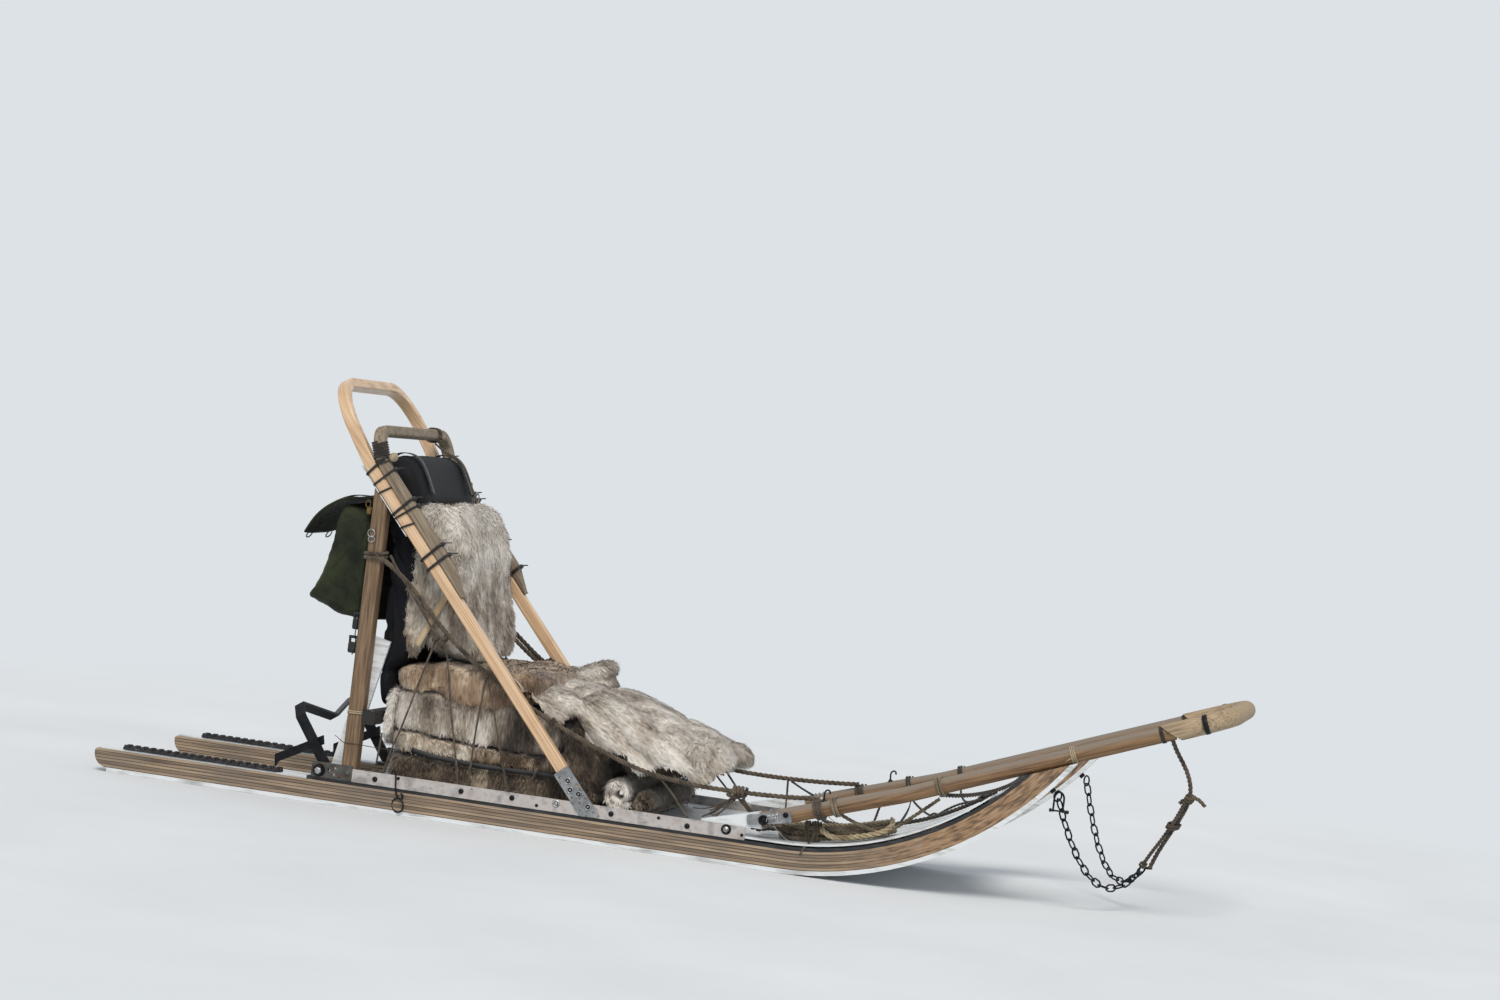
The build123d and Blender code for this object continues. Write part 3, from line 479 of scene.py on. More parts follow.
fur_spots = {
    "back": [
        (790, 725, 110, 0.22), (842, 620, 60, 0.2), (850, 470, 120, -0.1),
        (745, 560, 60, -0.14), (760, 420, 60, -0.06),
    ],
    "lobe": [(730, 620, 50, -0.2)],
    "front": [
        (1360, 205, 110, 0.2), (1165, 300, 50, -0.2), (1235, 320, 60, -0.05),
        (1320, 275, 50, -0.14),
    ],
    "lip": [(700, 345, 70, 0.1), (860, 372, 60, 0.12), (1000, 380, 60, 0.08)],
    "block": [(730, 230, 80, 0.3), (800, 262, 50, -0.22), (1020, 230, 190, -0.24)],
    "band": [
        (722, 170, 50, 0.2), (768, 168, 24, -0.2), (815, 165, 50, 0.1), (1010, 160, 170, -0.26),
    ],
    "brown": [
        (712, 112, 44, 0.32), (760, 100, 26, -0.14), (810, 116, 60, 0.1), (1340, 105, 60, 0.05),
    ],
}
for kind, (shades, marks, patch_mm, lean) in furs.items():
    finishes[f"{kind}_fur"] = reindeer_fur(
        f"reindeer_fur_{kind}", list(zip(marks, shades.split())), patch_mm,
        fur_spots.get(kind, ()), lean,
    )
print("finishes with furs", len(finishes))

# %% [markdown]
# The CAD pieces keep their shapes, so each only needs its finish. A list says which finish goes
# on which node, by the start of the node's name.

# %% Dress the CAD pieces
dressing = {
    "runner_": "laminated_birch",
    "shoe_": "white_polyethylene",
    "deck_strip_": "black_polyethylene",
    "heel_strip_": "white_polyethylene",
    "foot_pad_": "black_rubber",
    "rail_": "painted_aluminium",
    "heel_bracket_": "galvanised_steel",
    "brake_": "dark_steel",
    "stanchion_": "post_wood",
    "brace_": "white_polyethylene",
    "bow_plate_": "bare_aluminium",
    "pole_": "pole_wood",
    "pole_wedge_": "white_polyethylene",
    "side_plate_": "bare_aluminium",
    "stay_rope_": "brown_rope",
    "tie_bar": "black_wood",
    "cross_piece_": "slat_wood",
    "bed": "white_polyethylene",
    "handle_bow": "oiled_birch",
    "old_bow": "old_bow_wood",
    "nose": "nose_wood",
    "seat_back": "navy_fabric",
    "handlebar_bag": "olive_canvas",
    "hide_": "front_fur",
    "bridle_rope": "brown_rope",
    "bridle_ring": "dark_steel",
    "chain_": "dark_steel",
    "rope_hank": "pale_rope",
}
for name, node in nodes.items():
    best = max((start for start in dressing if name.startswith(start)), key=len)
    node.data.materials.clear()
    node.data.materials.append(finishes[dressing[best]])
print("dressed", len(nodes), "CAD pieces")

# %% [markdown]
# The camera stands to the right of the sled and a little ahead, low, with a long lens, and it
# is rolled, as a camera held in the hand often is. Its three directions are worked out from its
# yaw, pitch and roll.

# %% Camera
LENS_MM = 85.0
CAMERA_PLACE = Vector((1.965, -8.157, 0.990))
YAW, PITCH, ROLL = (math.radians(angle) for angle in (12.79, -1.10, 6.99))

ahead = Vector((-math.sin(YAW) * math.cos(PITCH), math.cos(YAW) * math.cos(PITCH), math.sin(PITCH)))
level_right = Vector((math.cos(YAW), math.sin(YAW), 0))
level_up = level_right.cross(ahead)
right = math.cos(ROLL) * level_right + math.sin(ROLL) * level_up
up = math.cos(ROLL) * level_up - math.sin(ROLL) * level_right

camera = bpy.data.objects.new("camera", bpy.data.cameras.new("camera"))
bpy.context.scene.collection.objects.link(camera)
camera.data.lens = LENS_MM
camera.data.sensor_width = 36
camera.rotation_mode = "QUATERNION"
turned = np.array([right, up, -ahead]).T
camera.rotation_quaternion = Matrix(turned.tolist()).to_quaternion()
camera.location = CAMERA_PLACE
bpy.context.scene.camera = camera
bpy.context.scene.view_settings.view_transform = "Standard"

# %% [markdown]
# A studio floor, nearly white. It is lit by the world from all round and by one lamp
# like a sun behind thin cloud, whose wide angle makes soft shadows, and which is as bright far
# away as it is near, so the floor has no bright pool. Together they are kept at a level where
# a colour renders about as it is written. Far from the sled the camera sees the floor in the
# backdrop's own colour, so no horizon shows.

# %% Floor and light
FLOOR_SIDE = 60
BACKDROP = "DDE2E6"
FADE_START, FADE_END = 1.9, 4.2

floor_mesh = bpy.data.meshes.new("floor")
floor_form = bmesh.new()
bmesh.ops.create_grid(floor_form, x_segments=2, y_segments=2, size=FLOOR_SIDE / 2)
floor_form.to_mesh(floor_mesh)
floor_form.free()
floor = bpy.data.objects.new("floor", floor_mesh)
bpy.context.scene.collection.objects.link(floor)
floor.location.z = -0.0005


def only_seen(tree):
    """One for what the camera sees, also through glass or in a mirror, and nought for light."""
    rays = add_node(tree, "LightPath").node.outputs
    seen = add_node(tree, "Math", {0: rays[0], 1: rays["Is Glossy Ray"]}, operation="MAXIMUM")
    return add_node(tree, "Math", {0: seen, 1: rays["Is Transmission Ray"]}, operation="MAXIMUM")


floor_finish, tree, floor_shader, floor_place = new_material("pale_studio_floor", roughness=0.9)
cloud = add_node(tree, "TexNoise", {"Vector": floor_place, "Scale": 1.5, "Detail": 4.0})
floor_shade = add_node(tree, "ValToRGB", {0: cloud}, stops=[(0.3, "D6DBE0"), (0.7, "DEE3E7")])
tree.links.new(floor_shade, floor_shader.inputs["Base Color"])
far_off = add_node(tree, "VectorMath", {0: floor_place}, operation="LENGTH", out="Value")
faded = add_node(
    tree, "MapRange", {0: far_off, 1: FADE_START, 2: FADE_END}, interpolation_type="SMOOTHSTEP"
)
shown = add_node(tree, "Math", {0: faded, 1: only_seen(tree)}, operation="MULTIPLY")
even = add_node(tree, "Emission", {0: colour(BACKDROP)})
mixed = add_node(tree, "MixShader", {0: shown, 1: floor_shader.outputs[0], 2: even})
tree.links.new(mixed, tree.nodes["Material Output"].inputs["Surface"])
floor_mesh.materials.append(floor_finish)

world = bpy.data.worlds.new("studio")
bpy.context.scene.world = world
world.use_nodes = True
sky = world.node_tree
sky.nodes.clear()
ambient = add_node(sky, "Background", {0: colour("E9EEF3"), 1: 0.62})
backdrop = add_node(sky, "Background", {0: colour(BACKDROP), 1: 1.0})
both = add_node(sky, "MixShader", {0: only_seen(sky), 1: ambient, 2: backdrop})
add_node(sky, "OutputWorld", {"Surface": both})

sun = bpy.data.lights.new("key", "SUN")
sun.energy = 2.1
sun.angle = math.radians(25)
sun.color = colour("FFF6EC")[:3]
sun_holder = bpy.data.objects.new("key", sun)
bpy.context.scene.collection.objects.link(sun_holder)
sun_holder.rotation_euler = Vector((0.25, -0.95, 1.15)).to_track_quat("Z", "Y").to_euler()

# %% [markdown]
# Rope comes next, because the sled is held together with it. Every rope follows a smooth line
# with a few control points, the way a real one bends. Blender's NURBS curve gives such a line:
# order 3 keeps it near its points, and the end points hold its two ends. The line is read back
# as points, divided evenly, and given two directions square to it that don't spin along it.
# Tubes and strands are then drawn round those.

# %% Helpers for lines
BEND_STEPS = 12


def smooth_line(points, closed=False):
    """The points of a smooth NURBS line with these control points."""
    data = bpy.data.curves.new("route", "CURVE")
    data.dimensions = "3D"
    spline = data.splines.new("NURBS")
    spline.points.add(len(points) - 1)
    for control, place in zip(spline.points, points):
        control.co = (*place, 1)
    spline.order_u = 3
    spline.use_endpoint_u = not closed
    spline.use_cyclic_u = closed
    spline.resolution_u = BEND_STEPS
    holder = bpy.data.objects.new("route", data)
    mesh = bpy.data.meshes.new_from_object(holder)
    line = np.array([vertex.co for vertex in mesh.vertices])
    bpy.data.objects.remove(holder)
    bpy.data.curves.remove(data)
    bpy.data.meshes.remove(mesh)
    return np.vstack([line, line[:1]]) if closed else line


def travelled(line):
    """How far along the line each of its points is."""
    return np.concatenate([[0], np.cumsum(np.linalg.norm(np.diff(line, axis=0), axis=1))])


def evenly(line, step):
    """The same line with its points this far apart."""
    gone = travelled(line)
    marks = np.linspace(0, gone[-1], max(3, round(gone[-1] / step) + 1))
    return np.stack([np.interp(marks, gone, line[:, axis]) for axis in range(3)], axis=1)


def unit(rows):
    """These rows, each one unit long."""
    return rows / np.maximum(np.linalg.norm(rows, axis=-1, keepdims=True), 1e-9)


def square_to(line):
    """At each point of a line, two directions square to it that don't spin along it."""
    tangents = unit(np.gradient(line, axis=0))
    side = np.cross(tangents[0], (0, 0, 1) if abs(tangents[0][2]) < 0.9 else (1, 0, 0))
    sides = []
    for tangent in tangents:
        side = unit(side - tangent * side.dot(tangent))
        sides.append(side)
    return np.array(sides), np.cross(tangents, sides)


# %% Helpers for tubes and laid rope
THIN_ROPE = 0.0075
# Where the strands lie, how thick they are and how long a turn is, in diameters of the rope
STRAND_OFF, STRAND_RADIUS, TURN_LENGTH = 0.268, 0.232, 3.2


def skin(rings):
    """Vertices and faces of a closed tube through these rings of points."""
    rings = np.asarray(rings)
    count, sides = rings.shape[:2]
    faces = [
        (row + side, row + (side + 1) % sides, row + sides + (side + 1) % sides, row + sides + side)
        for row in range(0, (count - 1) * sides, sides)
        for side in range(sides)
    ]
    faces += [tuple(range(sides))[::-1], tuple(range((count - 1) * sides, count * sides))]
    return rings.reshape(-1, 3), faces


def tube(line, radius, sides=6):
    """A round tube along a line."""
    across, over = square_to(line)
    turns = round_turn(sides)[None, :, None]
    ring = np.cos(turns) * across[:, None] + np.sin(turns) * over[:, None]
    return skin(line[:, None] + radius * ring)


def laid_rope(line, diameter, strands=3):
    """Strands twisted round each other along a line. Thin rope has simpler strands."""
    thin = diameter < THIN_ROPE
    line = evenly(line, diameter * (0.5 if thin else 0.34))
    across, over = square_to(line)
    gone = travelled(line)
    forms = []
    for strand in range(strands):
        turn = (math.tau * (strand / strands + gone / (diameter * TURN_LENGTH)))[:, None]
        off = STRAND_OFF * diameter * (np.cos(turn) * across + np.sin(turn) * over)
        forms.append(tube(line + off, STRAND_RADIUS * diameter, 4 if thin else 6))
    return forms


# %% Helper for a piece
def new_piece(name, forms, finish, smooth=True):
    """One piece on the frame's root body, made of several forms of vertices and faces."""
    places, corners, sizes = [], [], []
    start = 0
    for vertices, faces in forms:
        places.append(np.asarray(vertices, dtype=np.float32).reshape(-1, 3))
        sizes.append(np.fromiter((len(face) for face in faces), dtype=np.int32))
        flat = np.fromiter((corner for face in faces for corner in face), dtype=np.int32)
        corners.append(flat + start)
        start += len(places[-1])
    places, corners, sizes = np.concatenate(places), np.concatenate(corners), np.concatenate(sizes)
    mesh = bpy.data.meshes.new(name)
    mesh.vertices.add(len(places))
    mesh.vertices.foreach_set("co", places.ravel())
    mesh.loops.add(len(corners))
    mesh.loops.foreach_set("vertex_index", corners)
    mesh.polygons.add(len(sizes))
    starts = np.concatenate([[0], np.cumsum(sizes)[:-1]]).astype(np.int32)
    mesh.polygons.foreach_set("loop_start", starts)
    mesh.polygons.foreach_set("use_smooth", [smooth] * len(sizes))
    mesh.update(calc_edges=True)
    mesh.validate()
    mesh.materials.append(finishes[finish])
    piece = bpy.data.objects.new(name, mesh)
    bpy.context.scene.collection.objects.link(piece)
    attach(piece, "root")
    return piece


# %% [markdown]
# The bridle rope hangs under the nose: from the lashing on the right pole, down in a loose
# curve, to the ring where the two chains meet. It is brown three-strand rope, 11 mm thick.
# Three strands twisted round the line, each a tube of its own, give the shadowed grooves that
# a bump pattern can't give at the rope's outline.

# %% Bridle rope
bridle_route = [at(*place) for place in (
    (2533.6, -239.9, 422.8), (2542.5, -223.4, 399.6), (2560, -206, 372), (2575, -186, 342),
    (2582, -163, 308), (2576, -137, 273), (2560, -108, 238), (2542, -79, 204), (2523, -50, 169),
    (2507, -28, 136), (2495.6, -10.8, 105.8),
)]
bridle_line = smooth_line(bridle_route)
print("bridle rope", round(travelled(bridle_line)[-1], 3), "m")
bridle = new_piece("bridle_rope_laid", laid_rope(bridle_line, 0.011), "brown_rope")
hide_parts("bridle_rope")

# %% [markdown]
# A hank of paler rope lies on the turned-up bed under the right pole. Its turns are drawn as a
# racetrack whose two straight sides follow the bed's curve: two turns side by side in each of
# three layers. The rope moves in, up or out only while it runs along a side, so it never lies
# in itself.

# %% Rope hank
BED_RADIUS = CURVE_CENTRE_UP - 0.0703
BED_MIDDLE_MM = 730
HANK_STATION, HANK_ACROSS = 1806, -165
HANK_ROPE = 0.011
hank_angle = math.asin((HANK_STATION - CURVE_STATION) / CURVE_RADIUS)


def on_bed_curve(along, across, height):
    """A point this far along, across and above the turned-up bed, from the hank's middle."""
    turn = hank_angle + along / BED_MIDDLE_MM
    reach = BED_RADIUS - height / 1000
    return Vector((
        CURVE_START + reach * math.sin(turn), (HANK_ACROSS + across) / 1000,
        CURVE_CENTRE_UP - reach * math.cos(turn),
    ))


def racetrack(radius, reach, lift):
    """One turn of the hank, from the front of its near side round to the same place."""
    straight = reach - radius
    half_turn = np.radians(range(0, 181, 20))
    bend = [(straight + radius * math.sin(a), -radius * math.cos(a)) for a in half_turn]
    turn = [(s * straight, -radius) for s in (0.15, 0.5, 0.8)] + bend
    turn += [(s * straight, radius) for s in (0.8, 0.4, 0, -0.4, -0.8)]
    turn += [(-x, -y) for x, y in bend]
    turn += [(s * straight, -radius) for s in (-0.8, -0.55)]
    return [(x, y, lift) for x, y in turn]


# Radius of the ends, half length, height: two turns in each of three layers
hank_points = []
for radius, reach, lift in (
    (43, 136, 8), (31.5, 124, 8.5), (31.5, 119, 20), (43, 131, 20.5), (44, 125, 32),
    (32, 113, 32.5),
):
    hank_points += racetrack(radius, reach, lift)
hank_route = [on_bed_curve(*point) for point in hank_points[:-1]]
hank_line = smooth_line(hank_route)
print("hank rope", round(travelled(hank_line)[-1], 3), "m")
hank = new_piece("rope_hank_laid", laid_rope(hank_line, HANK_ROPE), "aged_rope")
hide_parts("rope_hank")
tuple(hank_route[0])

# %% [markdown]
# The side stays are pulled tight, from the outer faces of the posts, past the inside of the
# bow's legs, to the tops of the poles. At each end the same rope is wound round what holds it.
# One helper winds a rope round any bar: a helix on a rounded square, or on a circle.

# %% Helpers for laid rope and windings
def laid(points, diameter, strands=3):
    """Laid rope along places in millimetres, with its diameter in millimetres."""
    return laid_rope(smooth_line(to_scene(points)), diameter / 1000, strands)


WINDING_STEPS = 16
# Turns lie this many diameters apart, so that they don't cut into each other
WINDING_PITCH = 1.04


def winding(middle, axis, across, half, turns, diameter, square=4.0, strands=3):
    """Rope wound round a bar. Half is the bar's half size along across, and square to it."""
    axis, across = Vector(axis).normalized(), Vector(across).normalized()
    third = axis.cross(across)
    reach, depth = (size + diameter / 2 for size in half)
    points = []
    for step in range(int(turns * WINDING_STEPS) + 1):
        turn = math.tau * step / WINDING_STEPS
        climb = diameter * WINDING_PITCH * (step / WINDING_STEPS - turns / 2)
        place = Vector(middle) + axis * climb
        place += across * keep_sign(math.cos(turn), 2 / square) * reach
        place += third * keep_sign(math.sin(turn), 2 / square) * depth
        points.append(tuple(place))
    return laid(points, diameter, strands)


# %% Side stays
# Station, height and distance from the sled's middle
STAY_ROUTE = [
    (640, 592, 272.3), (662, 588, 272.3), (690, 565, 254), (722, 535, 238), (760, 498, 235),
    (815, 440, 235), (913, 364, 235), (1040, 292, 235), (1190, 228, 235), (1336, 178, 235),
    (1460, 166, 235), (1585, 166, 236), (1690, 171, 237), (1752, 177, 238),
]
# The pole's middle line, seen from the side: its foot, its knee and the start of its nose
POLE_FOOT, POLE_KNEE, NOSE_START = (1629, 112), (1950, 215), (2658, 487)
POLE_RISE = math.atan2(POLE_KNEE[1] - POLE_FOOT[1], POLE_KNEE[0] - POLE_FOOT[0])
NOSE_RISE = math.atan2(NOSE_START[1] - POLE_KNEE[1], NOSE_START[0] - POLE_KNEE[0])
pole_way = (math.cos(POLE_RISE), 0, math.sin(POLE_RISE))
nose_way = (math.cos(NOSE_RISE), 0, math.sin(NOSE_RISE))
POST_ACROSS, POLE_ACROSS = 248, 250
POST_HALF, POLE_HALF = (18.5, 18.5), (18.3, 18.3)


def pole_middle(station):
    """Height of the pole's middle line."""
    if station < POLE_KNEE[0]:
        return POLE_FOOT[1] + (station - POLE_FOOT[0]) * math.tan(POLE_RISE)
    return POLE_KNEE[1] + (station - POLE_KNEE[0]) * math.tan(NOSE_RISE)


for side, sign in SIDES:
    forms = laid([(station, sign * across, height) for station, height, across in STAY_ROUTE], 12)
    forms += winding((633, sign * POST_ACROSS, 594), UP, AHEAD, POST_HALF, 2.3, 9)
    forms += winding((1760, sign * POLE_ACROSS, 154), pole_way, LEFT, POLE_HALF, 3.2, 7, square=2)
    stay = new_piece(f"stay_rope_laid_{side}", forms, "brown_rope")
    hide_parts(f"stay_rope_{side}")
print("stays laid")

# %% [markdown]
# Halfway down the bridle is a knot with two short ends. From it a second rope runs down beside
# the first, both bound together with thin cord, and then away from it to the chain. They are one
# piece.

# %% Knot in the bridle
BRIDLE_WAY = (-17, 29, -35)
knotted = winding((2580, -150, 290), BRIDLE_WAY, AHEAD, (5.6, 5.6), 2.2, 7.5, square=2)
for route in (
    [(2580, -156, 292), (2592, -158, 294), (2606, -160, 288), (2617, -160, 277)],
    [(2574, -148, 288), (2565, -146, 284), (2558, -146, 275)],
    [(2571, -152, 282), (2565, -140, 266), (2550, -114, 234), (2532, -84, 200), (2514, -62, 170),
     (2494, -38, 138), (2480, -20, 112)],
):
    knotted += laid(route, 9.5)
knotted += winding((2546, -96, 218), BRIDLE_WAY, AHEAD, (13, 7), 4, 4, square=2)
knotted += winding((2481, -21, 113), BRIDLE_WAY, AHEAD, (6, 6), 2.2, 4, square=2)
knot = new_piece("bridle_knot", knotted, "brown_rope")
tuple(bridle_route[0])
print("bridle knot", len(knot.data.vertices))

# %% [markdown]
# The soft goods. A hide that is folded up, or a stuffed bag, is a closed form: one outline seen
# from the side, drawn smooth and repeated from right to left, that closes up in a rounded way
# at both sides. Noise and folds then push its surface in and out along its normals, because
# nothing soft has a straight edge. All of it is worked out in millimetres from the tail.

# %% Helpers for soft forms
def normals_of(grid, wrapped=True):
    """The normals of a grid of points, whose rows close on themselves if it is wrapped."""
    if wrapped:
        along = np.roll(grid, -1, axis=1) - np.roll(grid, 1, axis=1)
    else:
        along = np.gradient(grid, axis=1)
    square = unit(np.cross(along, np.gradient(grid, axis=0)))
    if wrapped and (square * (grid - grid.mean(axis=(0, 1)))).sum() < 0:
        square = -square
    return square


def unevenness(grid, size_mm, seed):
    """Soft noise from about -1 to 1 with lumps of this size."""
    shift = Vector((seed * 7.3, seed * 3.1, seed * 5.7))
    values = [
        noise.fractal(Vector(place) / size_mm + shift, 0.7, 2.0, 4) for place in grid.reshape(-1, 3)
    ]
    return np.array(values).reshape(grid.shape[:2])


def folds(grid, lean, pitch, depth, seed):
    """Full ridges and narrow creases at this angle below level, seen from the side."""
    lean = math.radians(lean)
    square_way = grid[..., 0] * math.sin(lean) + grid[..., 2] * math.cos(lean)
    wander = unevenness(grid, 240, seed)
    wave = np.abs(np.cos(math.pi * (square_way / pitch + 0.5 * wander + grid[..., 1] / 400)))
    return depth * (2 * wave**0.6 - 1.2)


CLOSE_UP = 0.985


def bundle(outline, half_width, middle=0, power=5, lumps=7, size=95, seed=1, fold=None,
           around=120, rings=26):
    """A closed soft form with this outline, as a grid of points and its normals."""
    line = smooth_line([(x, 0, z) for x, z in outline], closed=True)
    section = evenly(line, travelled(line)[-1] / around)[:-1]
    centre = section.mean(axis=0)
    grid = []
    for angle in np.linspace(-1, 1, 2 * rings + 1) * math.pi / 2 * CLOSE_UP:
        ring = centre + (section - centre) * math.cos(angle) ** (2 / power)
        ring[:, 1] = middle + half_width * keep_sign(math.sin(angle), 2 / power)
        grid.append(ring)
    grid = np.array(grid)
    push = lumps * unevenness(grid, size, seed)
    if fold:
        push = push + folds(grid, *fold, seed)
    grid = grid + normals_of(grid) * push[..., None]
    limit = half_width + abs(middle)
    grid[..., 1] = np.clip(grid[..., 1], -limit, limit)
    return grid, normals_of(grid)


def soft_piece(name, parts, finish):
    """One piece from several soft forms."""
    piece = new_piece(name, [skin(to_scene(grid)) for grid, _ in parts], finish)
    return piece


# %% [markdown]
# Fur. Bump can't break up an outline, so each hide carries short blades of hair: a flat sliver
# with a bend and a pointed tip. They start anywhere on the surface, more where it is seen, and
# lie along the way that the hair grows, which is mostly down the sides, lifted off the skin by
# a third. Real hairs are far finer than a pixel, so one blade stands for a lock of them.

# %% Helper for fur
SPREAD = 0.3


def fur(name, parts, count, length, width, flow, finish, seed,
        lift=0.4, wrapped=True, bare=None):
    """Hair on soft forms, combed along a flow. Bare is a round hole: station, height, reach."""
    rng = np.random.default_rng(seed)
    corners, squares, weights = [], [], []
    for grid, normals in parts:
        if wrapped:
            grid, normals = (np.concatenate([lot, lot[:, :1]], axis=1) for lot in (grid, normals))
        quad, upright = (
            np.stack([lot[:-1, :-1], lot[:-1, 1:], lot[1:, 1:], lot[1:, :-1]], axis=2)
            for lot in (grid, normals)
        )
        first, second = quad[:, :, 2] - quad[:, :, 0], quad[:, :, 3] - quad[:, :, 1]
        area = np.linalg.norm(np.cross(first, second), axis=2)
        facing = upright.mean(axis=2)
        shown = 0.35 + 1.4 * np.abs(facing[..., 1]) + np.clip(facing[..., 2], 0, 1)
        shown[facing[..., 2] < -0.75] = 0.1
        if bare:
            away = np.hypot(quad[:, :, 0, 0] - bare[0], quad[:, :, 0, 2] - bare[1])
            shown[away < bare[2]] = 0
        corners.append(quad.reshape(-1, 4, 3))
        squares.append(upright.reshape(-1, 4, 3))
        weights.append((area * shown).ravel())
    corners, squares, weights = (np.concatenate(lot) for lot in (corners, squares, weights))
    picks = rng.choice(len(weights), count, p=weights / weights.sum())
    s, t = rng.random((2, count, 1))
    shares = (((1 - s) * (1 - t)), (s * (1 - t)), (s * t), ((1 - s) * t))
    root = sum(share * corners[picks, n] for n, share in enumerate(shares))
    square = unit(sum(share * squares[picks, n] for n, share in enumerate(shares)))
    lay = np.asarray(flow, dtype=float) + rng.normal(0, SPREAD, (count, 3))
    lay = unit(lay - square * (lay * square).sum(axis=1, keepdims=True))
    way = unit(lay + square * (lift * rng.uniform(0.4, 1.3, (count, 1))))
    reach = length * rng.uniform(0.6, 1.15, (count, 1))
    across = unit(np.cross(way, square)) * (width / 2 * rng.uniform(0.7, 1.3, (count, 1)))
    root = root - square
    half = root + way * reach * 0.55
    tip = half + (way * 0.8 + lay * 0.35 - square * 0.1) * reach * 0.5
    shoulder = across * 0.8
    lock = np.stack([root - across, root + across, half + shoulder, half - shoulder, tip], axis=1)
    first = np.arange(count)[:, None] * 5
    quads = (first + (0, 1, 2, 3)).tolist()
    tips = (first + (3, 2, 4)).tolist()
    return new_piece(name, [(to_scene(lock.reshape(-1, 3)), quads + tips)], finish)


# %% [markdown]
# The seat: hides folded flat and piled on the bed between the bow's legs. From below: a brown
# and white one with long hair, a cream band, a thick block that is white behind and brown in
# front, and a tan one over all of it, whose edge hangs down in a thick lip. At the rear the edge
# of the block's hide hangs down as a pale curtain, and a dark one stands on edge in front.

# %% Folded hides of the seat
HIDE_HALF = 215
seat_layers = {
    "bottom": (
        bundle([(699, 136), (692, 110), (694, 80), (720, 75), (850, 75), (1000, 75), (1190, 75),
                (1216, 96), (1200, 136), (1080, 136), (930, 134), (800, 140)],
               HIDE_HALF, power=8, lumps=5, size=60, seed=2, fold=(84, 52, 4)),
        "brown_fur", 22, (0.15, 0, -1), 1,
    ),
    "band": (
        bundle([(703, 193), (697, 172), (702, 151), (735, 149), (784, 148), (857, 141), (930, 140),
                (1150, 142), (1184, 170), (1000, 178), (925, 181), (852, 182), (779, 188),
                (735, 192)],
               HIDE_HALF - 1, power=8, lumps=4, size=50, seed=3, fold=(88, 46, 2)),
        "band_fur", 17, (0.5, 0, -0.9), 2,
    ),
    "block": (
        bundle([(702, 292), (694, 270), (696, 204), (712, 192), (779, 190), (852, 184), (925, 184),
                (1073, 172), (1126, 196), (1128, 262), (1090, 286), (960, 288), (860, 292),
                (780, 296)],
               HIDE_HALF - 3, power=9, lumps=5, size=90, seed=4, fold=(80, 96, 4)),
        "block_fur", 13, (0.1, 0, -1), 3,
    ),
    "curtain": (
        bundle([(696, 296), (708, 292), (707, 240), (705, 190), (700, 160), (690, 152), (688, 190),
                (689, 250)],
               HIDE_HALF - 5, power=6, lumps=3, size=50, seed=7, around=90),
        "white_fur", 16, (-0.1, -0.2, -1), 7,
    ),
    "front_edge": (
        bundle([(1122, 86), (1118, 262), (1150, 300), (1196, 284), (1228, 190), (1220, 86)],
               HIDE_HALF - 12, lumps=8, size=60, seed=5, fold=(60, 40, 5)),
        "brown_fur", 20, (0.4, 0, -0.9), 4,
    ),
    "lip": (
        bundle([(694, 300), (692, 326), (712, 342), (758, 352), (815, 364), (866, 363), (940, 370),
                (1040, 370), (1074, 350), (1066, 300), (1000, 262), (918, 264), (878, 262),
                (826, 274), (787, 296), (751, 292), (712, 288)],
               HIDE_HALF + 3, power=8, lumps=4, size=60, seed=6, fold=(70, 95, 3)),
        "lip_fur", 10, (0.1, -0.3, -0.9), 5,
    ),
}
for layer, (part, finish, hair, flow, seed) in seat_layers.items():
    piece = soft_piece(f"seat_hide_{layer}", [part], finish)
    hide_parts("hide_seat")
    fur(f"seat_fur_{layer}", [part], 12000, hair, 2.8, flow, finish, seed)
    print("seat hide", layer, part[0].shape)

# %% [markdown]
# The hide behind the seat stands against the padded back: a big grey-beige one that
# bulges forward, and over its near side the white lobe of another, folded down like a tongue.

# %% Hide against the back
back_body = bundle(
    [(738, 374), (736, 560), (736, 714), (768, 736), (800, 718), (826, 672), (842, 612), (842, 560),
     (852, 500), (868, 440), (882, 392), (872, 366), (800, 366)],
    HIDE_HALF, power=4, lumps=8, size=95, seed=11, fold=(62, 150, 4),
)
white_lobe = bundle(
    [(700, 722), (752, 738), (812, 712), (842, 668), (838, 600), (800, 520), (772, 508), (752, 560),
     (728, 618), (700, 640)],
    30, middle=-192, power=2.6, lumps=6, size=60, seed=12, around=90, rings=14,
)
low_lobe = bundle(
    [(712, 640), (756, 652), (776, 600), (780, 540), (776, 470), (752, 372), (716, 366), (702, 470),
     (704, 560)],
    22, middle=-198, power=2.4, lumps=5, size=50, seed=13, around=90, rings=14,
)
for part, name, finish, count, seed in (
    (back_body, "body", "back_fur", 19000, 21), (white_lobe, "lobe", "lobe_fur", 5000, 22),
    (low_lobe, "low_lobe", "back_fur", 4000, 23),
):
    piece = soft_piece(f"back_hide_{name}", [part], finish)
    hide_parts("hide_back")
    fur(f"back_fur_{name}", [part], count, 16, 2.6, (0.2, 0, -1), finish, seed)
print("back hide", back_body[0].shape)

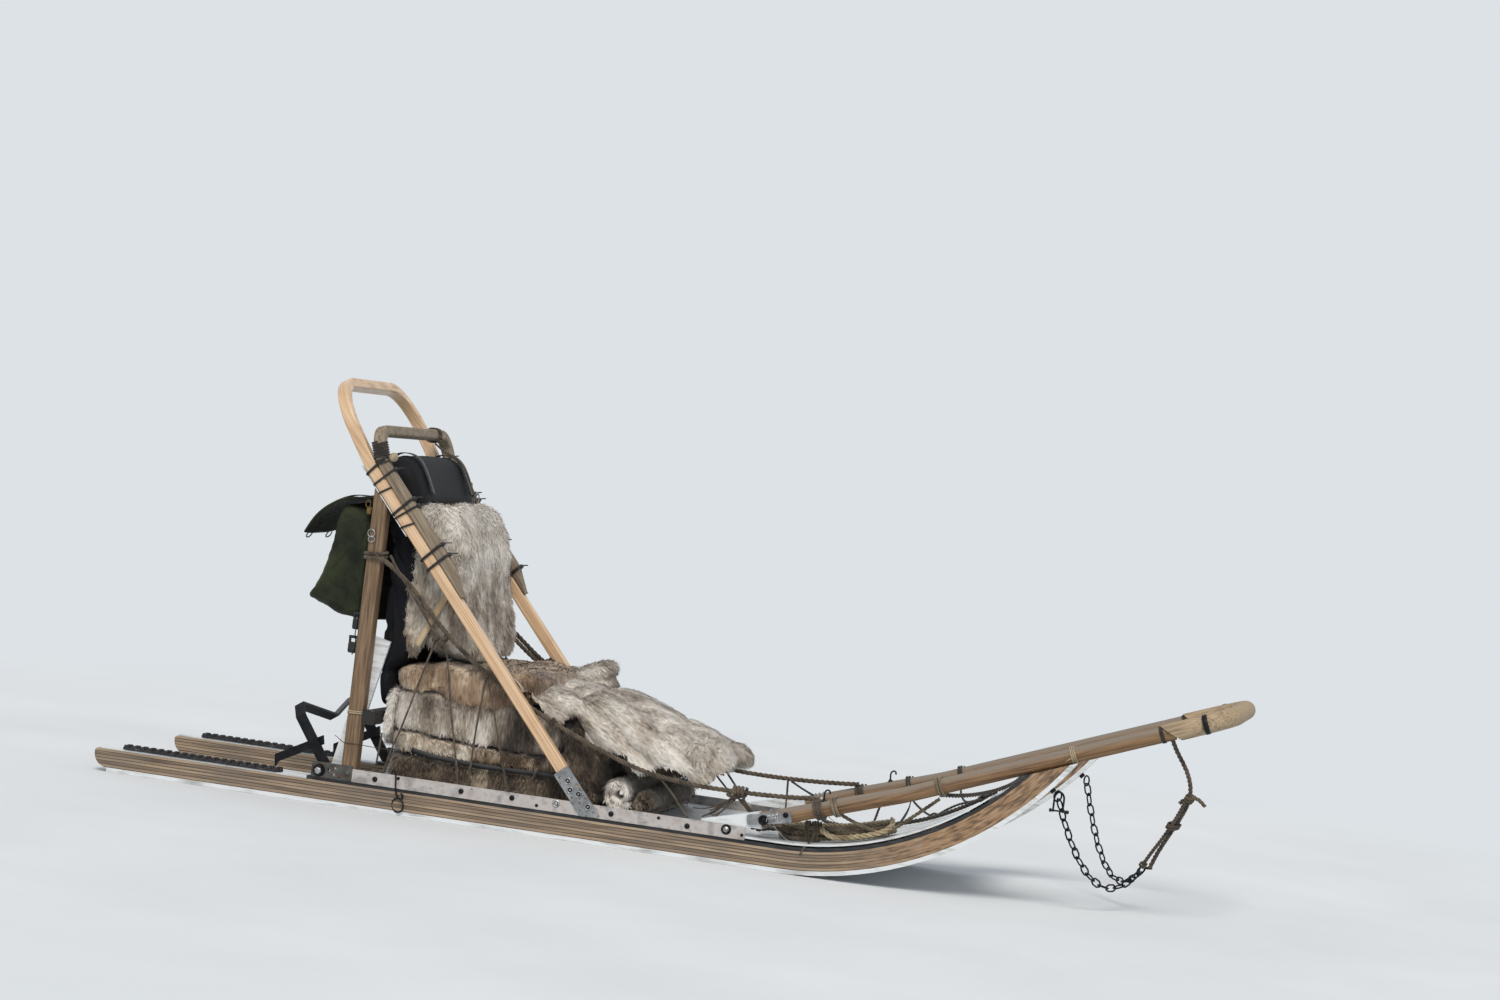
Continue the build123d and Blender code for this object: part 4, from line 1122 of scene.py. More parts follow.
# %% [markdown]
# The front hide is one skin thrown over the load ahead of the seat. It falls forward in long
# folds and hangs down at both sides with a torn, scalloped edge. It is a sheet, so it is drawn
# as one: a section from one edge up over the top and down to the other, at many stations, with
# the height of its ridge and of its edges read along the way. The suede side is the same sheet
# again, a skin's thickness further in.

# %% Lines of the front hide
SKIN_MM = 9
RIDGE = [
    (990, 358), (1040, 354), (1087, 350), (1181, 350), (1256, 332), (1354, 304), (1404, 286),
    (1477, 260), (1518, 240), (1570, 222),
]
RIGHT_EDGE = [
    (1000, 352), (1045, 322), (1085, 276), (1109, 258), (1130, 276), (1152, 290), (1166, 272),
    (1180, 249), (1203, 221), (1250, 212), (1287, 215), (1296, 186), (1318, 172), (1340, 178),
    (1362, 200), (1400, 196), (1428, 186), (1450, 166), (1469, 160), (1485, 176), (1500, 196),
    (1535, 204), (1560, 214), (1570, 222),
]
LEFT_EDGE = [
    (1000, 340), (1090, 270), (1180, 262), (1270, 215), (1340, 196), (1430, 190), (1500, 186),
    (1570, 215),
]
HIDE_REAR, HIDE_FRONT, FRONT_HALF = 1000, 1520, 222
TOP_PART = 0.62


def height_at(points, stations):
    """The height of a line of (station, height) points at these stations."""
    line = np.array(points)
    return np.interp(stations, line[:, 0], line[:, 1])


def draped_grid(stations):
    """Rows of points from the right edge over the top to the left edge."""
    ridge, right, left = (height_at(line, stations) for line in (RIDGE, RIGHT_EDGE, LEFT_EDGE))
    rows = []
    for share in np.linspace(-1, 1, 91):
        over = abs(share)
        top_share = min(over / TOP_PART, 1)
        drop_share = max(over - TOP_PART, 0) / (1 - TOP_PART)
        edge = right if share < 0 else left
        across = FRONT_HALF * (0.86 * top_share + 0.14 * math.sin(drop_share * math.pi / 2))
        shoulder = ridge - 24 * top_share**2
        height = shoulder + (edge - shoulder) * drop_share**1.25
        aside = np.full_like(stations, math.copysign(across, share))
        rows.append(np.stack([stations, aside, height], axis=1))
    return np.array(rows)


def outward(grid):
    """The normals of a draped grid, turned so that its middle row faces up."""
    square = normals_of(grid, wrapped=False)
    return -square if square[len(grid) // 2, :, 2].mean() < 0 else square


# %% Points of the front hide
outer = draped_grid(np.linspace(HIDE_REAR, HIDE_FRONT, 112))
square = outward(outer)
# The front end slants back towards the left side
forward = ((outer[..., 0] - HIDE_REAR) / (HIDE_FRONT - HIDE_REAR)).clip(0, 1)
leftward = ((outer[..., 1] + 60) / (60 + FRONT_HALF)).clip(0, 1)
outer[..., 0] -= 60 * forward**2 * leftward**1.5
# The folds die out towards both ends
wave = folds(outer, 31, 62, 9, 31) + 2.5 * unevenness(outer, 70, 32)
front_fade = np.clip((HIDE_FRONT + 10 - outer[..., 0]) / 60, 0.15, 1)
rear_fade = np.clip((outer[..., 0] - HIDE_REAR + 10) / 60, 0.2, 1)
outer = outer + square * (wave * front_fade * rear_fade - 6)[..., None]
square = outward(outer)
outer[..., 1] = np.clip(outer[..., 1], -FRONT_HALF - 6, FRONT_HALF + 6)
inner = outer - square * SKIN_MM
print("front hide", outer.shape, "points")

# %% Front hide as a sheet
def sheet_form(top, under):
    """A closed sheet from two grids, one over the other."""
    rows, columns = top.shape[:2]
    places = to_scene(np.concatenate([top.reshape(-1, 3), under.reshape(-1, 3)]))
    lower = rows * columns
    faces = []
    for row in range(rows - 1):
        for column in range(columns - 1):
            here = row * columns + column
            cell = (here, here + 1, here + columns + 1, here + columns)
            faces += [cell, tuple(lower + cell[corner] for corner in (0, 3, 2, 1))]
    rim = list(range(columns))
    rim += [row * columns + columns - 1 for row in range(1, rows)]
    rim += [(rows - 1) * columns + column for column in range(columns - 2, -1, -1)]
    rim += [row * columns for row in range(rows - 2, 0, -1)]
    for here, there in zip(rim, rim[1:] + rim[:1]):
        faces.append((there, here, lower + here, lower + there))
    return places, faces


front_hide = new_piece("front_hide", [sheet_form(outer, inner)], "front_fur")
front_hide.data.materials.append(finishes["suede"])
rows, columns = outer.shape[:2]
sides_in_turn = [0, 1] * ((rows - 1) * (columns - 1)) + [0] * 2 * (rows + columns - 2)
front_hide.data.polygons.foreach_set("material_index", sides_in_turn)
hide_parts("hide_front")
cells = np.cross(np.gradient(outer, axis=0), np.gradient(outer, axis=1))
flat_area = np.linalg.norm(cells, axis=2).sum() / 1e6
print("front hide", round(flat_area, 3), "square metres")

# %% [markdown]
# Its fur is pale where it falls at the sides and over the front, and grey-brown on the ridge.
# A second fur in white stands on the rounded lobes at the front end. The lobes are the hide's
# own edge, rolled under, so they are forms of their own that bulge past it.

# %% Fur and lobes of the front hide
fur("front_fur", [(outer, square)], 23000, 12, 2.7, (0.75, 0, -0.75), "front_fur",
    41, lift=0.3, wrapped=False)
lobes = [
    bundle([(1420, 262), (1428, 215), (1444, 176), (1468, 160), (1488, 182), (1490, 220),
            (1470, 262)],
           34, middle=-186, power=2.1, lumps=3, size=50, seed=51, around=80, rings=16),
    bundle([(1440, 272), (1470, 232), (1500, 196), (1524, 204), (1528, 232), (1498, 270)],
           42, middle=-140, power=2.1, lumps=2.5, size=50, seed=52, around=80, rings=16),
]
dark_lobe = bundle([(1460, 256), (1490, 212), (1514, 197), (1540, 208), (1538, 236), (1506, 258)],
                   58, middle=-20, power=2.1, lumps=3, size=50, seed=53, around=80, rings=16)
raised_fold = bundle(
    [(985, 338), (1020, 354), (1062, 374), (1104, 396), (1138, 398), (1148, 380), (1136, 358),
     (1158, 330), (1100, 318), (1040, 322)],
    66, middle=146, power=2, lumps=4, size=60, seed=54, around=90, rings=16,
)
for name, parts, finish, seed in (
    ("lobes", lobes, "white_fur", 61), ("dark_lobe", [dark_lobe], "front_fur", 62),
    ("raised_fold", [raised_fold], "front_fur", 63),
):
    soft_piece(f"front_{name}", parts, finish)
    fur(f"front_fur_{name}", parts, 4500, 15, 2.5, (0.5, 0, -0.85), finish, seed)

# %% [markdown]
# Under the front hide two more are rolled up across the sled. A rolled hide shows its spiral
# at the end, with a dark hole in the middle, so each is one thick band wound round an axis.

# %% Rolled hides
def roll(centre, core, outside, turns, half_width, seed):
    """A hide rolled round an axis across the sled."""
    thick = (outside - core) / turns
    steps = int(30 * turns)
    angles = np.linspace(0, math.tau * turns, steps)
    middle = core + (outside - core - thick / 2) * angles / angles[-1]
    grid = []
    for reach, turn in zip(middle, angles):
        way = np.array([math.cos(turn), 0, math.sin(turn)])
        ring = []
        for around in round_turn(28):
            off = 0.46 * thick * keep_sign(math.cos(around), 0.7)
            across = half_width * keep_sign(math.sin(around), 0.12)
            across *= 1 + 0.03 * math.sin(3 * turn + seed)
            ring.append(np.array([centre[0], across, centre[1]]) + way * (reach + off))
        grid.append(ring)
    grid = np.array(grid)
    return grid, normals_of(grid)


pale_roll = roll((1272, 118), 9, 40, 1.9, 206, 1)
brown_roll = roll((1338, 108), 7, 33, 1.8, 198, 2)
for name, part, finish, seed, hole in (
    ("pale", pale_roll, "white_fur", 71, (1272, 118, 15)),
    ("brown", brown_roll, "brown_fur", 72, None),
):
    piece = soft_piece(f"roll_{name}", [part], finish)
    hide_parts("hide_rolls")
    fur(f"roll_fur_{name}", [part], 5500, 15, 2.8, (0.2, -0.2, -0.8), finish, seed,
        lift=0.6, bare=hole)
front_rolls = bundle(
    [(1250, 166), (1262, 212), (1330, 230), (1410, 200), (1450, 176), (1420, 170), (1330, 160)],
    176, lumps=6, size=70, seed=73,
)
soft_piece("front_rolls", [front_rolls], "brown_fur")
fur("front_rolls_fur", [front_rolls], 3500, 18, 3, (0.2, 0, -1), "brown_fur", 74)
print("rolled hides", pale_roll[0].shape, brown_roll[0].shape)

# %% [markdown]
# The load leans on a padded back: a tall navy cushion of coated cloth between the legs of the
# bow, quilted across by sewn channels and bound with webbing. Each channel is a narrow dip in
# the form, so the pads between them swell as stuffed cloth does.

# %% Padded back
# Heights of the seams across the pad, distance of the upright ones from its middle, and depth
CHANNELS, UPRIGHT_SEAM, SEAM_DEPTH = (330, 430, 530, 630, 725), 108, 7
back_pad = bundle(
    [(660, 236), (658, 500), (658, 690), (640, 740), (604, 790), (622, 834), (664, 836), (692, 810),
     (716, 752), (731, 700), (731, 500), (731, 350), (692, 336), (688, 240)],
    217, power=9, lumps=2.5, size=120, seed=81, around=160, rings=24,
)
grid, square = back_pad
dip = sum(np.exp(-(((grid[..., 2] - channel) / 9) ** 2)) for channel in CHANNELS)
dip = dip + np.exp(-(((np.abs(grid[..., 1]) - UPRIGHT_SEAM) / 8) ** 2))
grid = grid - square * (SEAM_DEPTH * np.clip(dip, 0, 1.2))[..., None]
back_pad = (grid, normals_of(grid))
pad = soft_piece("padded_back", [back_pad], "navy_fabric")
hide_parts("seat_back")


def band(line, normals, width, thick):
    """A flat strap along a line in millimetres, with one normal for each of its points."""
    across = unit(np.cross(np.gradient(line, axis=0), normals)) * width / 2
    up = unit(normals) * thick
    rows = [line - across, line + across, line + across + up, line - across + up]
    return skin(to_scene(np.stack(rows, axis=1)))


def webbing(points, width, thick, inner):
    """A strap in millimetres along these points, facing away from an inner point."""
    line = evenly(smooth_line(points), 6)
    normals = line - inner
    tangents = unit(np.gradient(line, axis=0))
    normals -= tangents * (normals * tangents).sum(axis=1, keepdims=True)
    return band(line, normals, width, thick)


pad_straps = []
for across in (-150, 150):
    pad_straps.append(webbing(
        [(655, across, 300), (654, across, 500), (654, across, 690), (634, across, 744),
         (602, across, 788), (618, across, 838), (666, across, 841), (696, across, 812),
         (722, across, 752)],
        25, 2, (690, across, 560),
    ))
new_piece("back_straps", pad_straps, "black_nylon")
print("padded back", back_pad[0].shape)

# %% [markdown]
# Behind the posts hangs a bag of waxed olive canvas. Its body sags a little over what it holds,
# and a stiff flap comes over the top, flares out at the back and is held by four straps with
# buckles. The flap is a bent sheet with a hem, a form of its own.

# %% Bag on the posts
BAG_HALF = 233
bag_body = bundle(
    [(611, 436), (612, 470), (612, 560), (611, 680), (606, 708), (560, 713), (528, 706), (520, 672),
     (512, 604), (494, 545), (474, 500), (462, 478), (466, 470), (487, 462), (540, 444), (586, 434),
     (604, 434)],
    BAG_HALF, power=10, lumps=4, size=80, seed=91, fold=(80, 95, 3.5), around=140, rings=26,
)
bag = soft_piece("canvas_bag", [bag_body], "olive_canvas")
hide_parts("handlebar_bag")
print("bag", bag_body[0].shape)

# %% Flap of the bag
FLAP_HALF = BAG_HALF + 1
CANVAS_MM, HEM_RADIUS = 3, 0.0026
flap_line = evenly(smooth_line([
    (613, 0, 700), (610, 0, 722), (575, 0, 727), (540, 0, 722), (510, 0, 708), (483, 0, 688),
    (460, 0, 660), (446, 0, 630),
]), 5)
flap_rows = []
for across in np.linspace(-FLAP_HALF, FLAP_HALF, 60):
    row = flap_line.copy()
    row[:, 1] = across
    sag = 5 * math.cos(math.pi * across / FLAP_HALF * 1.5)
    row[:, 2] += sag * np.linspace(0, 1, len(row)) ** 2 + 2 * math.sin(across / 31)
    flap_rows.append(row)
flap_top = np.array(flap_rows)
flap = sheet_form(flap_top, flap_top - outward(flap_top) * CANVAS_MM)
hem = [tube(to_scene(row), HEM_RADIUS) for row in (flap_top[0], flap_top[-1], flap_top[:, -1])]
new_piece("bag_flap", [flap] + hem, "olive_canvas")
print("flap", flap_top.shape)

# %% Straps and buckles of the bag
def bent_wire(points, diameter, step=3, sides=6, closed=False):
    """Round wire along places in millimetres, with a ring of points at every step."""
    return tube(evenly(smooth_line(to_scene(points), closed), step / 1000), diameter / 2000, sides)


bag_straps, buckles = [], []
for across in (-196, -60, 60, 196):
    bag_straps.append(webbing(
        [(600, across, 727), (560, across, 730), (520, across, 717), (483, across, 693),
         (457, across, 664), (443, across, 634)],
        22, 2.5, (600, across, 560),
    ))
    buckles.append(bent_wire([
        (448, across - 15, 630), (440, across - 15, 614),
        (440, across + 15, 614), (448, across + 15, 630),
    ], 3.6, closed=True))
new_piece("bag_straps", bag_straps, "black_nylon")
new_piece("bag_buckles", buckles, "bright_steel")
print("straps and buckles of the bag", len(bag_straps))
# %% [markdown]
# Cable ties and cord hold the old bow to the new one. Each is a closed loop round both bars,
# drawn from where it crosses the rear face of the new bow and the front face of the old one,
# with a small block where a tie's tail goes through its head.

# %% Places on the legs of the bows
BAR_HALF, BOW_ACROSS = 12.5, 257.5
# Faces of the two bows, by how far they are in front of the new bow's middle line
NEW_REAR, NEW_FRONT, OLD_FRONT = -14.4, 14.2, 42.8
LEG_WAY = Vector((math.cos(LEG_RISE), 0, math.sin(LEG_RISE)))
LEG_OUT = Vector((math.sin(LEG_RISE), 0, -math.cos(LEG_RISE)))
LEG_FOOT = Vector((1235, 0, 59))


def on_leg(height, lift):
    """The point this high and this far in front of the new bow's middle line, from the side."""
    along = (height - LEG_FOOT.z - lift * LEG_OUT.z) / LEG_WAY.z
    return LEG_FOOT + LEG_WAY * along + LEG_OUT * lift


print("leg at 700 mm", [round(value) for value in on_leg(700, 0)])

# %% Ties on the two bows
def loop_round(rear, front, across, diameter):
    """A closed loop round both bars, from its rear point to its front point, seen from the side."""
    middle, reach = (rear + front) / 2, (front - rear).length / 2 + diameter / 2
    way = (front - rear).normalized()
    points = []
    for turn in round_turn(28):
        place = middle + way * keep_sign(math.cos(turn), 0.35) * reach
        aside = keep_sign(math.sin(turn), 0.35) * (BAR_HALF + diameter / 2)
        points.append((place.x, across + aside, place.z))
    return bent_wire(points, diameter, sides=8, closed=True)


def block(middle, way, across, up, size):
    """A small block with rounded edges, by its middle, three directions and its size."""
    way, across, up = (
        np.array(Vector(axis).normalized()) * reach / 2
        for axis, reach in zip((way, across, up), size)
    )
    section = np.array([
        across * keep_sign(math.cos(turn), 0.4) + up * keep_sign(math.sin(turn), 0.4)
        for turn in round_turn(16)
    ])
    ends = ((-1, 0.72), (-0.86, 0.94), (-0.6, 1), (0.6, 1), (0.86, 0.94), (1, 0.72))
    rings = [np.array(middle) + way * along + section * shrink for along, shrink in ends]
    return skin(to_scene(rings))


# Height on the rear face, height on the front face, thickness, which side
ties = [
    (783, 826, 6, -1), (760, 799, 5, -1), (696, 737, 6.5, -1), (688, 722, 5, -1),
    (599, 640, 6.5, -1), (578, 618, 6.5, -1), (792, 834, 6.5, 1), (712, 752, 8, 1),
    (704, 738, 6, 1), (610, 646, 6, 1), (546, 588, 7, 1),
]
tie_forms = []
for low, high, thick, sign in ties:
    front = on_leg(high, OLD_FRONT)
    tie_forms.append(loop_round(on_leg(low, NEW_REAR), front, sign * BOW_ACROSS, thick))
    head = Vector((front.x, sign * BOW_ACROSS - 4, front.z)) + LEG_OUT * 4
    tie_forms.append(block(head, LEFT, LEG_OUT, LEG_WAY, (11, 8, 9)))
    tie_forms.append(bent_wire([
        head + LEG_OUT * 3, head + LEG_OUT * 9 + Vector((3, -sign * 3, -2)),
        head + LEG_OUT * 15 + Vector((7, -sign * 8, -5)),
    ], 3.2))
for low, high, sign in ((742, 757, -1), (668, 681, -1), (772, 783, 1)):
    rear, front = on_leg(low, NEW_REAR), on_leg(high, NEW_FRONT)
    tie_forms.append(loop_round(rear, front, sign * BOW_ACROSS, 4.5))
new_piece("bow_ties", tie_forms, "black_nylon")
print("ties on the bows", len(ties))

# %% [markdown]
# The old bow's right bend is served with dark cord, with a pale wooden toggle on it. A cord
# looped over its cross bar hangs down on the padded back, and small steel clips hang on the
# left leg. A thin white splint runs down the rear of the new bow's right leg.

# %% Dress of the old bow
BEND_WAY = (604 - 627, 0, 886 - 812)
serving = winding((617, -BOW_ACROSS, 843), BEND_WAY, LEFT, (12.5, 14), 6.5, 5.5, square=3.2)
serving += winding((627, -BOW_ACROSS, 815), BEND_WAY, LEFT, (12.5, 14), 1.6, 6, square=3.2)
new_piece("old_bow_serving", serving, "dark_rope")


def circle(middle, facing, radius, count):
    """This many points of a circle that faces this way."""
    facing = Vector(facing).normalized()
    across = facing.orthogonal().normalized()
    third = facing.cross(across)
    return [
        Vector(middle) + (across * math.cos(turn) + third * math.sin(turn)) * radius
        for turn in round_turn(count)
    ]


def turned(profile, middle, axis, sides=24):
    """A turned form. Its profile is radius and place along the axis, in millimetres."""
    way = Vector(axis).normalized()
    return skin(to_scene([
        circle(Vector(middle) + way * place, axis, radius, sides) for radius, place in profile
    ]))


knob = turned(
    [(1, -10), (6, -9.4), (9.5, -6), (10.6, 0), (9.6, 5), (6.5, 8.6), (3, 9.6), (0.6, 9.8)],
    (652, -262, 829), (0.8, -0.5, 0.2),
)
new_piece("toggle", [knob], "pale_rope")
hung = winding((604, 165, 886), LEFT, AHEAD, (14.5, 13), 2.1, 7, square=3)
for route in (
    [(610, 168, 866), (640, 160, 848), (676, 158, 838), (700, 155, 815), (724, 152, 765),
     (741, 150, 734)],
    [(612, 160, 866), (644, 148, 846), (680, 146, 836), (704, 142, 812), (728, 140, 764),
     (745, 136, 733)],
):
    hung += laid(route, 5)
new_piece("bar_cord", hung, "brown_rope")

# %% Clips and splint
clips = []
for (x, y, z), tilt in (((690, 232, 762), 0.2), ((700, 231, 748), -0.25), ((712, 232, 738), 0.05)):
    clips.append(bent_wire([
        (x + 6 * math.cos(turn) + tilt * 14 * math.sin(turn), y + 2 * math.sin(2 * turn),
         z + 19 * math.sin(turn))
        for turn in round_turn(16)
    ], 3.2, step=2, sides=8, closed=True))
new_piece("steel_clips", clips, "bright_steel")
splint_route = [on_leg(height, NEW_REAR - 1.2) for height in (650, 690, 735, 780, 800)]
splint_line = evenly(smooth_line([(place.x, -264, place.z) for place in splint_route]), 8)
splint = band(splint_line, np.array([-LEG_OUT] * len(splint_line)), 9, 2)
new_piece("white_splint", [splint], "white_polyethylene")
print("old bow dressed", len(clips), "clips")

# %% [markdown]
# Cords lace the load in. They are about 6 mm thick, start on the stays and go down inside the
# rails in long slack V shapes. Each ends in a small knot, which is a winding on its own axis.

# %% Lacing over the load
LACE_ACROSS, STAY_ACROSS = 236, 235
lacing = [
    [(799, 416), (782, 352), (757, 259), (740, 200), (727, 163), (711, 92)],
    [(695, 182), (692, 92)],
    [(821, 419), (839, 353), (854, 268), (882, 151), (897, 90)],
    [(932, 346), (924, 261), (921, 152), (922, 90)],
    [(936, 344), (959, 273), (989, 176), (1019, 90)],
    [(1102, 189), (1085, 152), (1054, 90)],
    [(1376, 170), (1400, 150), (1436, 112), (1452, 92)],
]
post_lace = [(675, 268, 600), (694, 256, 563), (735, 238, 511), (797, 236, 428)]
strap_route = [
    (768, 222, 152), (800, 226, 146), (857, 226, 141), (930, 227, 138), (1000, 227, 137),
    (1136, 228, 141),
]
strap_wire = [(1136, 229, 141), (1170, 238, 146), (1196, 240, 130)]
for side, sign in SIDES:
    forms = []
    for number, route in enumerate(lacing):
        forms += laid([
            (x, sign * (LACE_ACROSS + (8 if z < 120 else 3 * math.sin(z / 40 + number))), z)
            for x, z in route
        ], 5.5)
    for station, height in ((799, 420), (934, 349), (821, 423), (1104, 264)):
        middle = (station, sign * STAY_ACROSS, height)
        forms += winding(middle, (0.8, 0, -0.6), LEFT, (7, 7), 2.2, 5, square=2)
    for station in (711, 693, 897, 922, 1019, 1054):
        forms += winding((station, sign * 252, 88), AHEAD, LEFT, (7, 4), 1.8, 5, square=3)
    forms += laid(mirrored(post_lace, sign), 7)
    new_piece(f"lacing_{side}", forms, "brown_rope")
    strap = webbing(mirrored(strap_route, sign), 12, 2, (1000, 0, 145))
    wire = bent_wire(mirrored(strap_wire, sign), 3, step=4)
    new_piece(f"load_strap_{side}", [strap, wire], "black_nylon")
print("lacing", len(lacing), "cords a side")

# %% [markdown]
# Ahead of the load a loose net of cords ties the poles to the bed, so that nothing slides out
# at the front. The cords are black, brown and pale, tied at whatever place was free.

# %% Places on the bed
BED_TOP_RADIUS = BED_MIDDLE_MM - 3


def on_bed(station, across, lift):
    """A place this far above the bed's turned-up top."""
    height = CURVE_RADIUS - math.sqrt(BED_TOP_RADIUS**2 - max(station - CURVE_STATION, 0) ** 2)
    return station, across, height + lift


print("bed top at its front", round(on_bed(2120, 0, 0)[2]), "mm")

# %% Front net
# Diameter and route of each cord
dark_cords = [
    (6, [(1480, -40, 196), (1540, -110, 152), (1590, -200, 122), (1612, -236, 112)]),
    (6, [(1579, 232, 162), (1580, 236, 130), (1581, 236, 94)]),
    (6, [(1586, 236, 162), (1622, 240, 142), (1660, 246, 128)]),
    (7, [(1816, 236, 154), (1808, 226, 118), on_bed(1803, 214, 3)]),
    (6.5, [(1876, 234, 172), (1915, 200, 136), on_bed(1955, 170, 4)]),
    (6.5, [on_bed(1955, 170, 4), (1996, 120, 165), (2046, 60, 190), on_bed(2090, 20, 4)]),
    (6.5, [(1998, 236, 214), (2010, 190, 182), (2040, 150, 178), on_bed(2073, 110, 5)]),
    (11, [(1664, 234, 124), (1670, 212, 98), (1695, 150, 84), (1768, 104, 87), on_bed(1858, 140, 6),
          on_bed(1924, 120, 6), on_bed(1988, 90, 6), on_bed(2071, 40, 6), on_bed(2120, 0, 6)]),
    (11, [(2030, -232, 226), (2060, -180, 222), (2110, -60, 228), (2150, 40, 246), (2160, 140, 262),
          (2158, 234, 282)]),
]
dark_net = [form for diameter, route in dark_cords for form in laid(route, diameter)]
for station, across, lift in ((1955, 170, 7), (2090, 20, 7), (1803, 214, 6), (2073, 110, 7)):
    middle = on_bed(station, across, lift)
    dark_net += winding(middle, (0.4, 1, 0.2), AHEAD, (5, 3), 2.2, 5, square=2)
for station in (1876, 1998):
    middle = (station, POLE_ACROSS, pole_middle(station))
    dark_net += winding(middle, pole_way, LEFT, POLE_HALF, 2.2, 6, square=2)
new_piece("front_net_dark", dark_net, "dark_rope")

pale_net = laid([(1800, -234, 152), (1850, -226, 126), on_bed(1910, -214, 6)], 9)
pale_net += laid([on_bed(1910, -214, 6), (1965, -222, 160), (2028, -234, 216)], 9)
pale_net += winding(on_bed(1910, -214, 9), (1, 0.3, 0.2), LEFT, (6, 4), 2.4, 6, square=2)
for station in (1797, 2030):
    middle = (station, -POLE_ACROSS, pole_middle(station))
    pale_net += winding(middle, pole_way, LEFT, POLE_HALF, 2.2, 7, square=2)
new_piece("front_net_pale", pale_net, "aged_rope")
strap_loop = webbing(
    [(1884, 232, 176), (1888, 206, 150), (1885, 180, 128), on_bed(1874, 160, 3)],
    14, 2.2, (1800, 200, 160),
)
new_piece("net_strap", [strap_loop], "black_nylon")
print("front net", len(dark_cords) + 2, "cords")

# %% [markdown]
# The hank is tied at its rear end with two turns of cord, and behind the ties more rope, older
# and darker, is stuffed flat under the wedge. Near it a frayed end is knotted round the stay.

# %% Ties of the hank and the old rope behind it
hank_ties = []
for along in (-62, -42):
    place = on_bed_curve(along, -37, 25)
    middle = (place.x * 1000 + TAIL_MM, place.y * 1000, place.z * 1000)
    hank_ties += winding(middle, (1, 0, 0.1), LEFT, (13, 19), 2.2, 6, square=3)
hank_ties += laid(
    [(1748, -222, 112), (1752, -232, 92), (1744, -246, 74), (1738, -268, 68), (1732, -275, 50)], 5,
)
new_piece("hank_ties", hank_ties, "brown_rope")
front_loop = [on_bed(*place) for place in (
    (1762, -214, 30), (1778, -220, 15), (1804, -222, 8.5), (1850, -222, 8.5), (1894, -222, 9.5),
    (1918, -219, 15), (1926, -208, 26), (1918, -190, 36),
)]
new_piece("hank_front_loop", laid(front_loop, 14), "pale_rope")
stuffed = []
vary = random.Random(5).uniform
for number in range(7):
    across = -214 + 17 * number
    lift = 83 + 7 * (number % 3)
    stuffed += laid([
        (1748 - vary(0, 12), across + vary(-6, 6), on_bed(1748, 0, 8 + 6 * (number % 2))[2]),
        (1700, across + vary(-12, 12), lift + vary(0, 8)),
        (1655, across + vary(-18, 18), lift + vary(0, 10)),
        (1612 + vary(-14, 6), across + vary(-10, 10), 82 + vary(0, 6)),
    ], 11)
new_piece("stuffed_rope", stuffed, "brown_rope")

frayed = winding((1566, -235, 166), AHEAD, LEFT, (7, 7), 3.2, 9, square=2)
frayed += winding((1552, -236, 158), (0.5, 0, 1), LEFT, (8, 6), 1.6, 10, square=2)
for number in range(9):
    start = (1556 + vary(-8, 8), -236 + vary(-4, 4), 156)
    end = (1452 + vary(0, 60), -238 + vary(-8, 14), 98 + vary(0, 18))
    middle = ((start[0] + end[0]) / 2 + vary(-10, 10), -240 + vary(-6, 6), 118 + vary(-8, 16))
    frayed += laid([start, middle, end], 4.5, strands=2)
for number in range(6):
    start = (1566 + vary(-5, 5), -232, 150)
    middle = (1590 + vary(-6, 14), -226, 128)
    end = (1600 + vary(0, 24), -216, 98 + vary(0, 10))
    frayed += laid([start, middle, end], 4.5, strands=2)
new_piece("frayed_knot", frayed, "brown_rope")
print("hank tied, old rope stuffed behind it")
# %% [markdown]
# Bolts. The rails, plates and brackets are held with carriage bolts, whose heads are low domes,
# and here and there with a nut on a washer. A bolt is a turned form, so each kind is one profile
# of radius and height, drawn outwards from the face that it sits on. Six sides instead of
# twenty-four give a hexagonal nut.

# %% Bolts of the rails and brackets
RAIL_FACE, BRACKET_FACE = 270, 278
DOME = [(6.4, -0.5), (6.4, 0.8), (5.6, 2.2), (3.6, 3.2), (1.2, 3.6)]
SMALL_DOME = [(3.9, -0.5), (3.9, 0.5), (2.9, 1.6), (1, 2)]
WASHER = [(12, -0.5), (12, 1.4), (11, 1.9), (7, 1.9), (7, 0.5)]
NUT = [(7.4, -0.5), (7.4, 3), (6.6, 4), (3.2, 4), (3.2, 5.2), (2.4, 5.8)]
FLAT_NUT = [(8.6, 0), (8.6, 2), (7.4, 2.8), (3, 3)]
THIN_WASHER = [(9, -0.5), (9, 1), (5, 1.4), (5, 0.4)]
RAIL_BOLTS = ((703, 76), (915, 78), (1039, 80), (1279, 77), (1461, 75))
SMALL_BOLTS = ((1591, 73), (760, 86), (1100, 71), (1392, 84))


def bolt(profile, station, height, sign, face=RAIL_FACE, sides=24):
    """A turned head on an outer face of the sled, on the right where the sign is minus one."""
    return turned(profile, (station, sign * face, height), (0, sign, 0), sides)


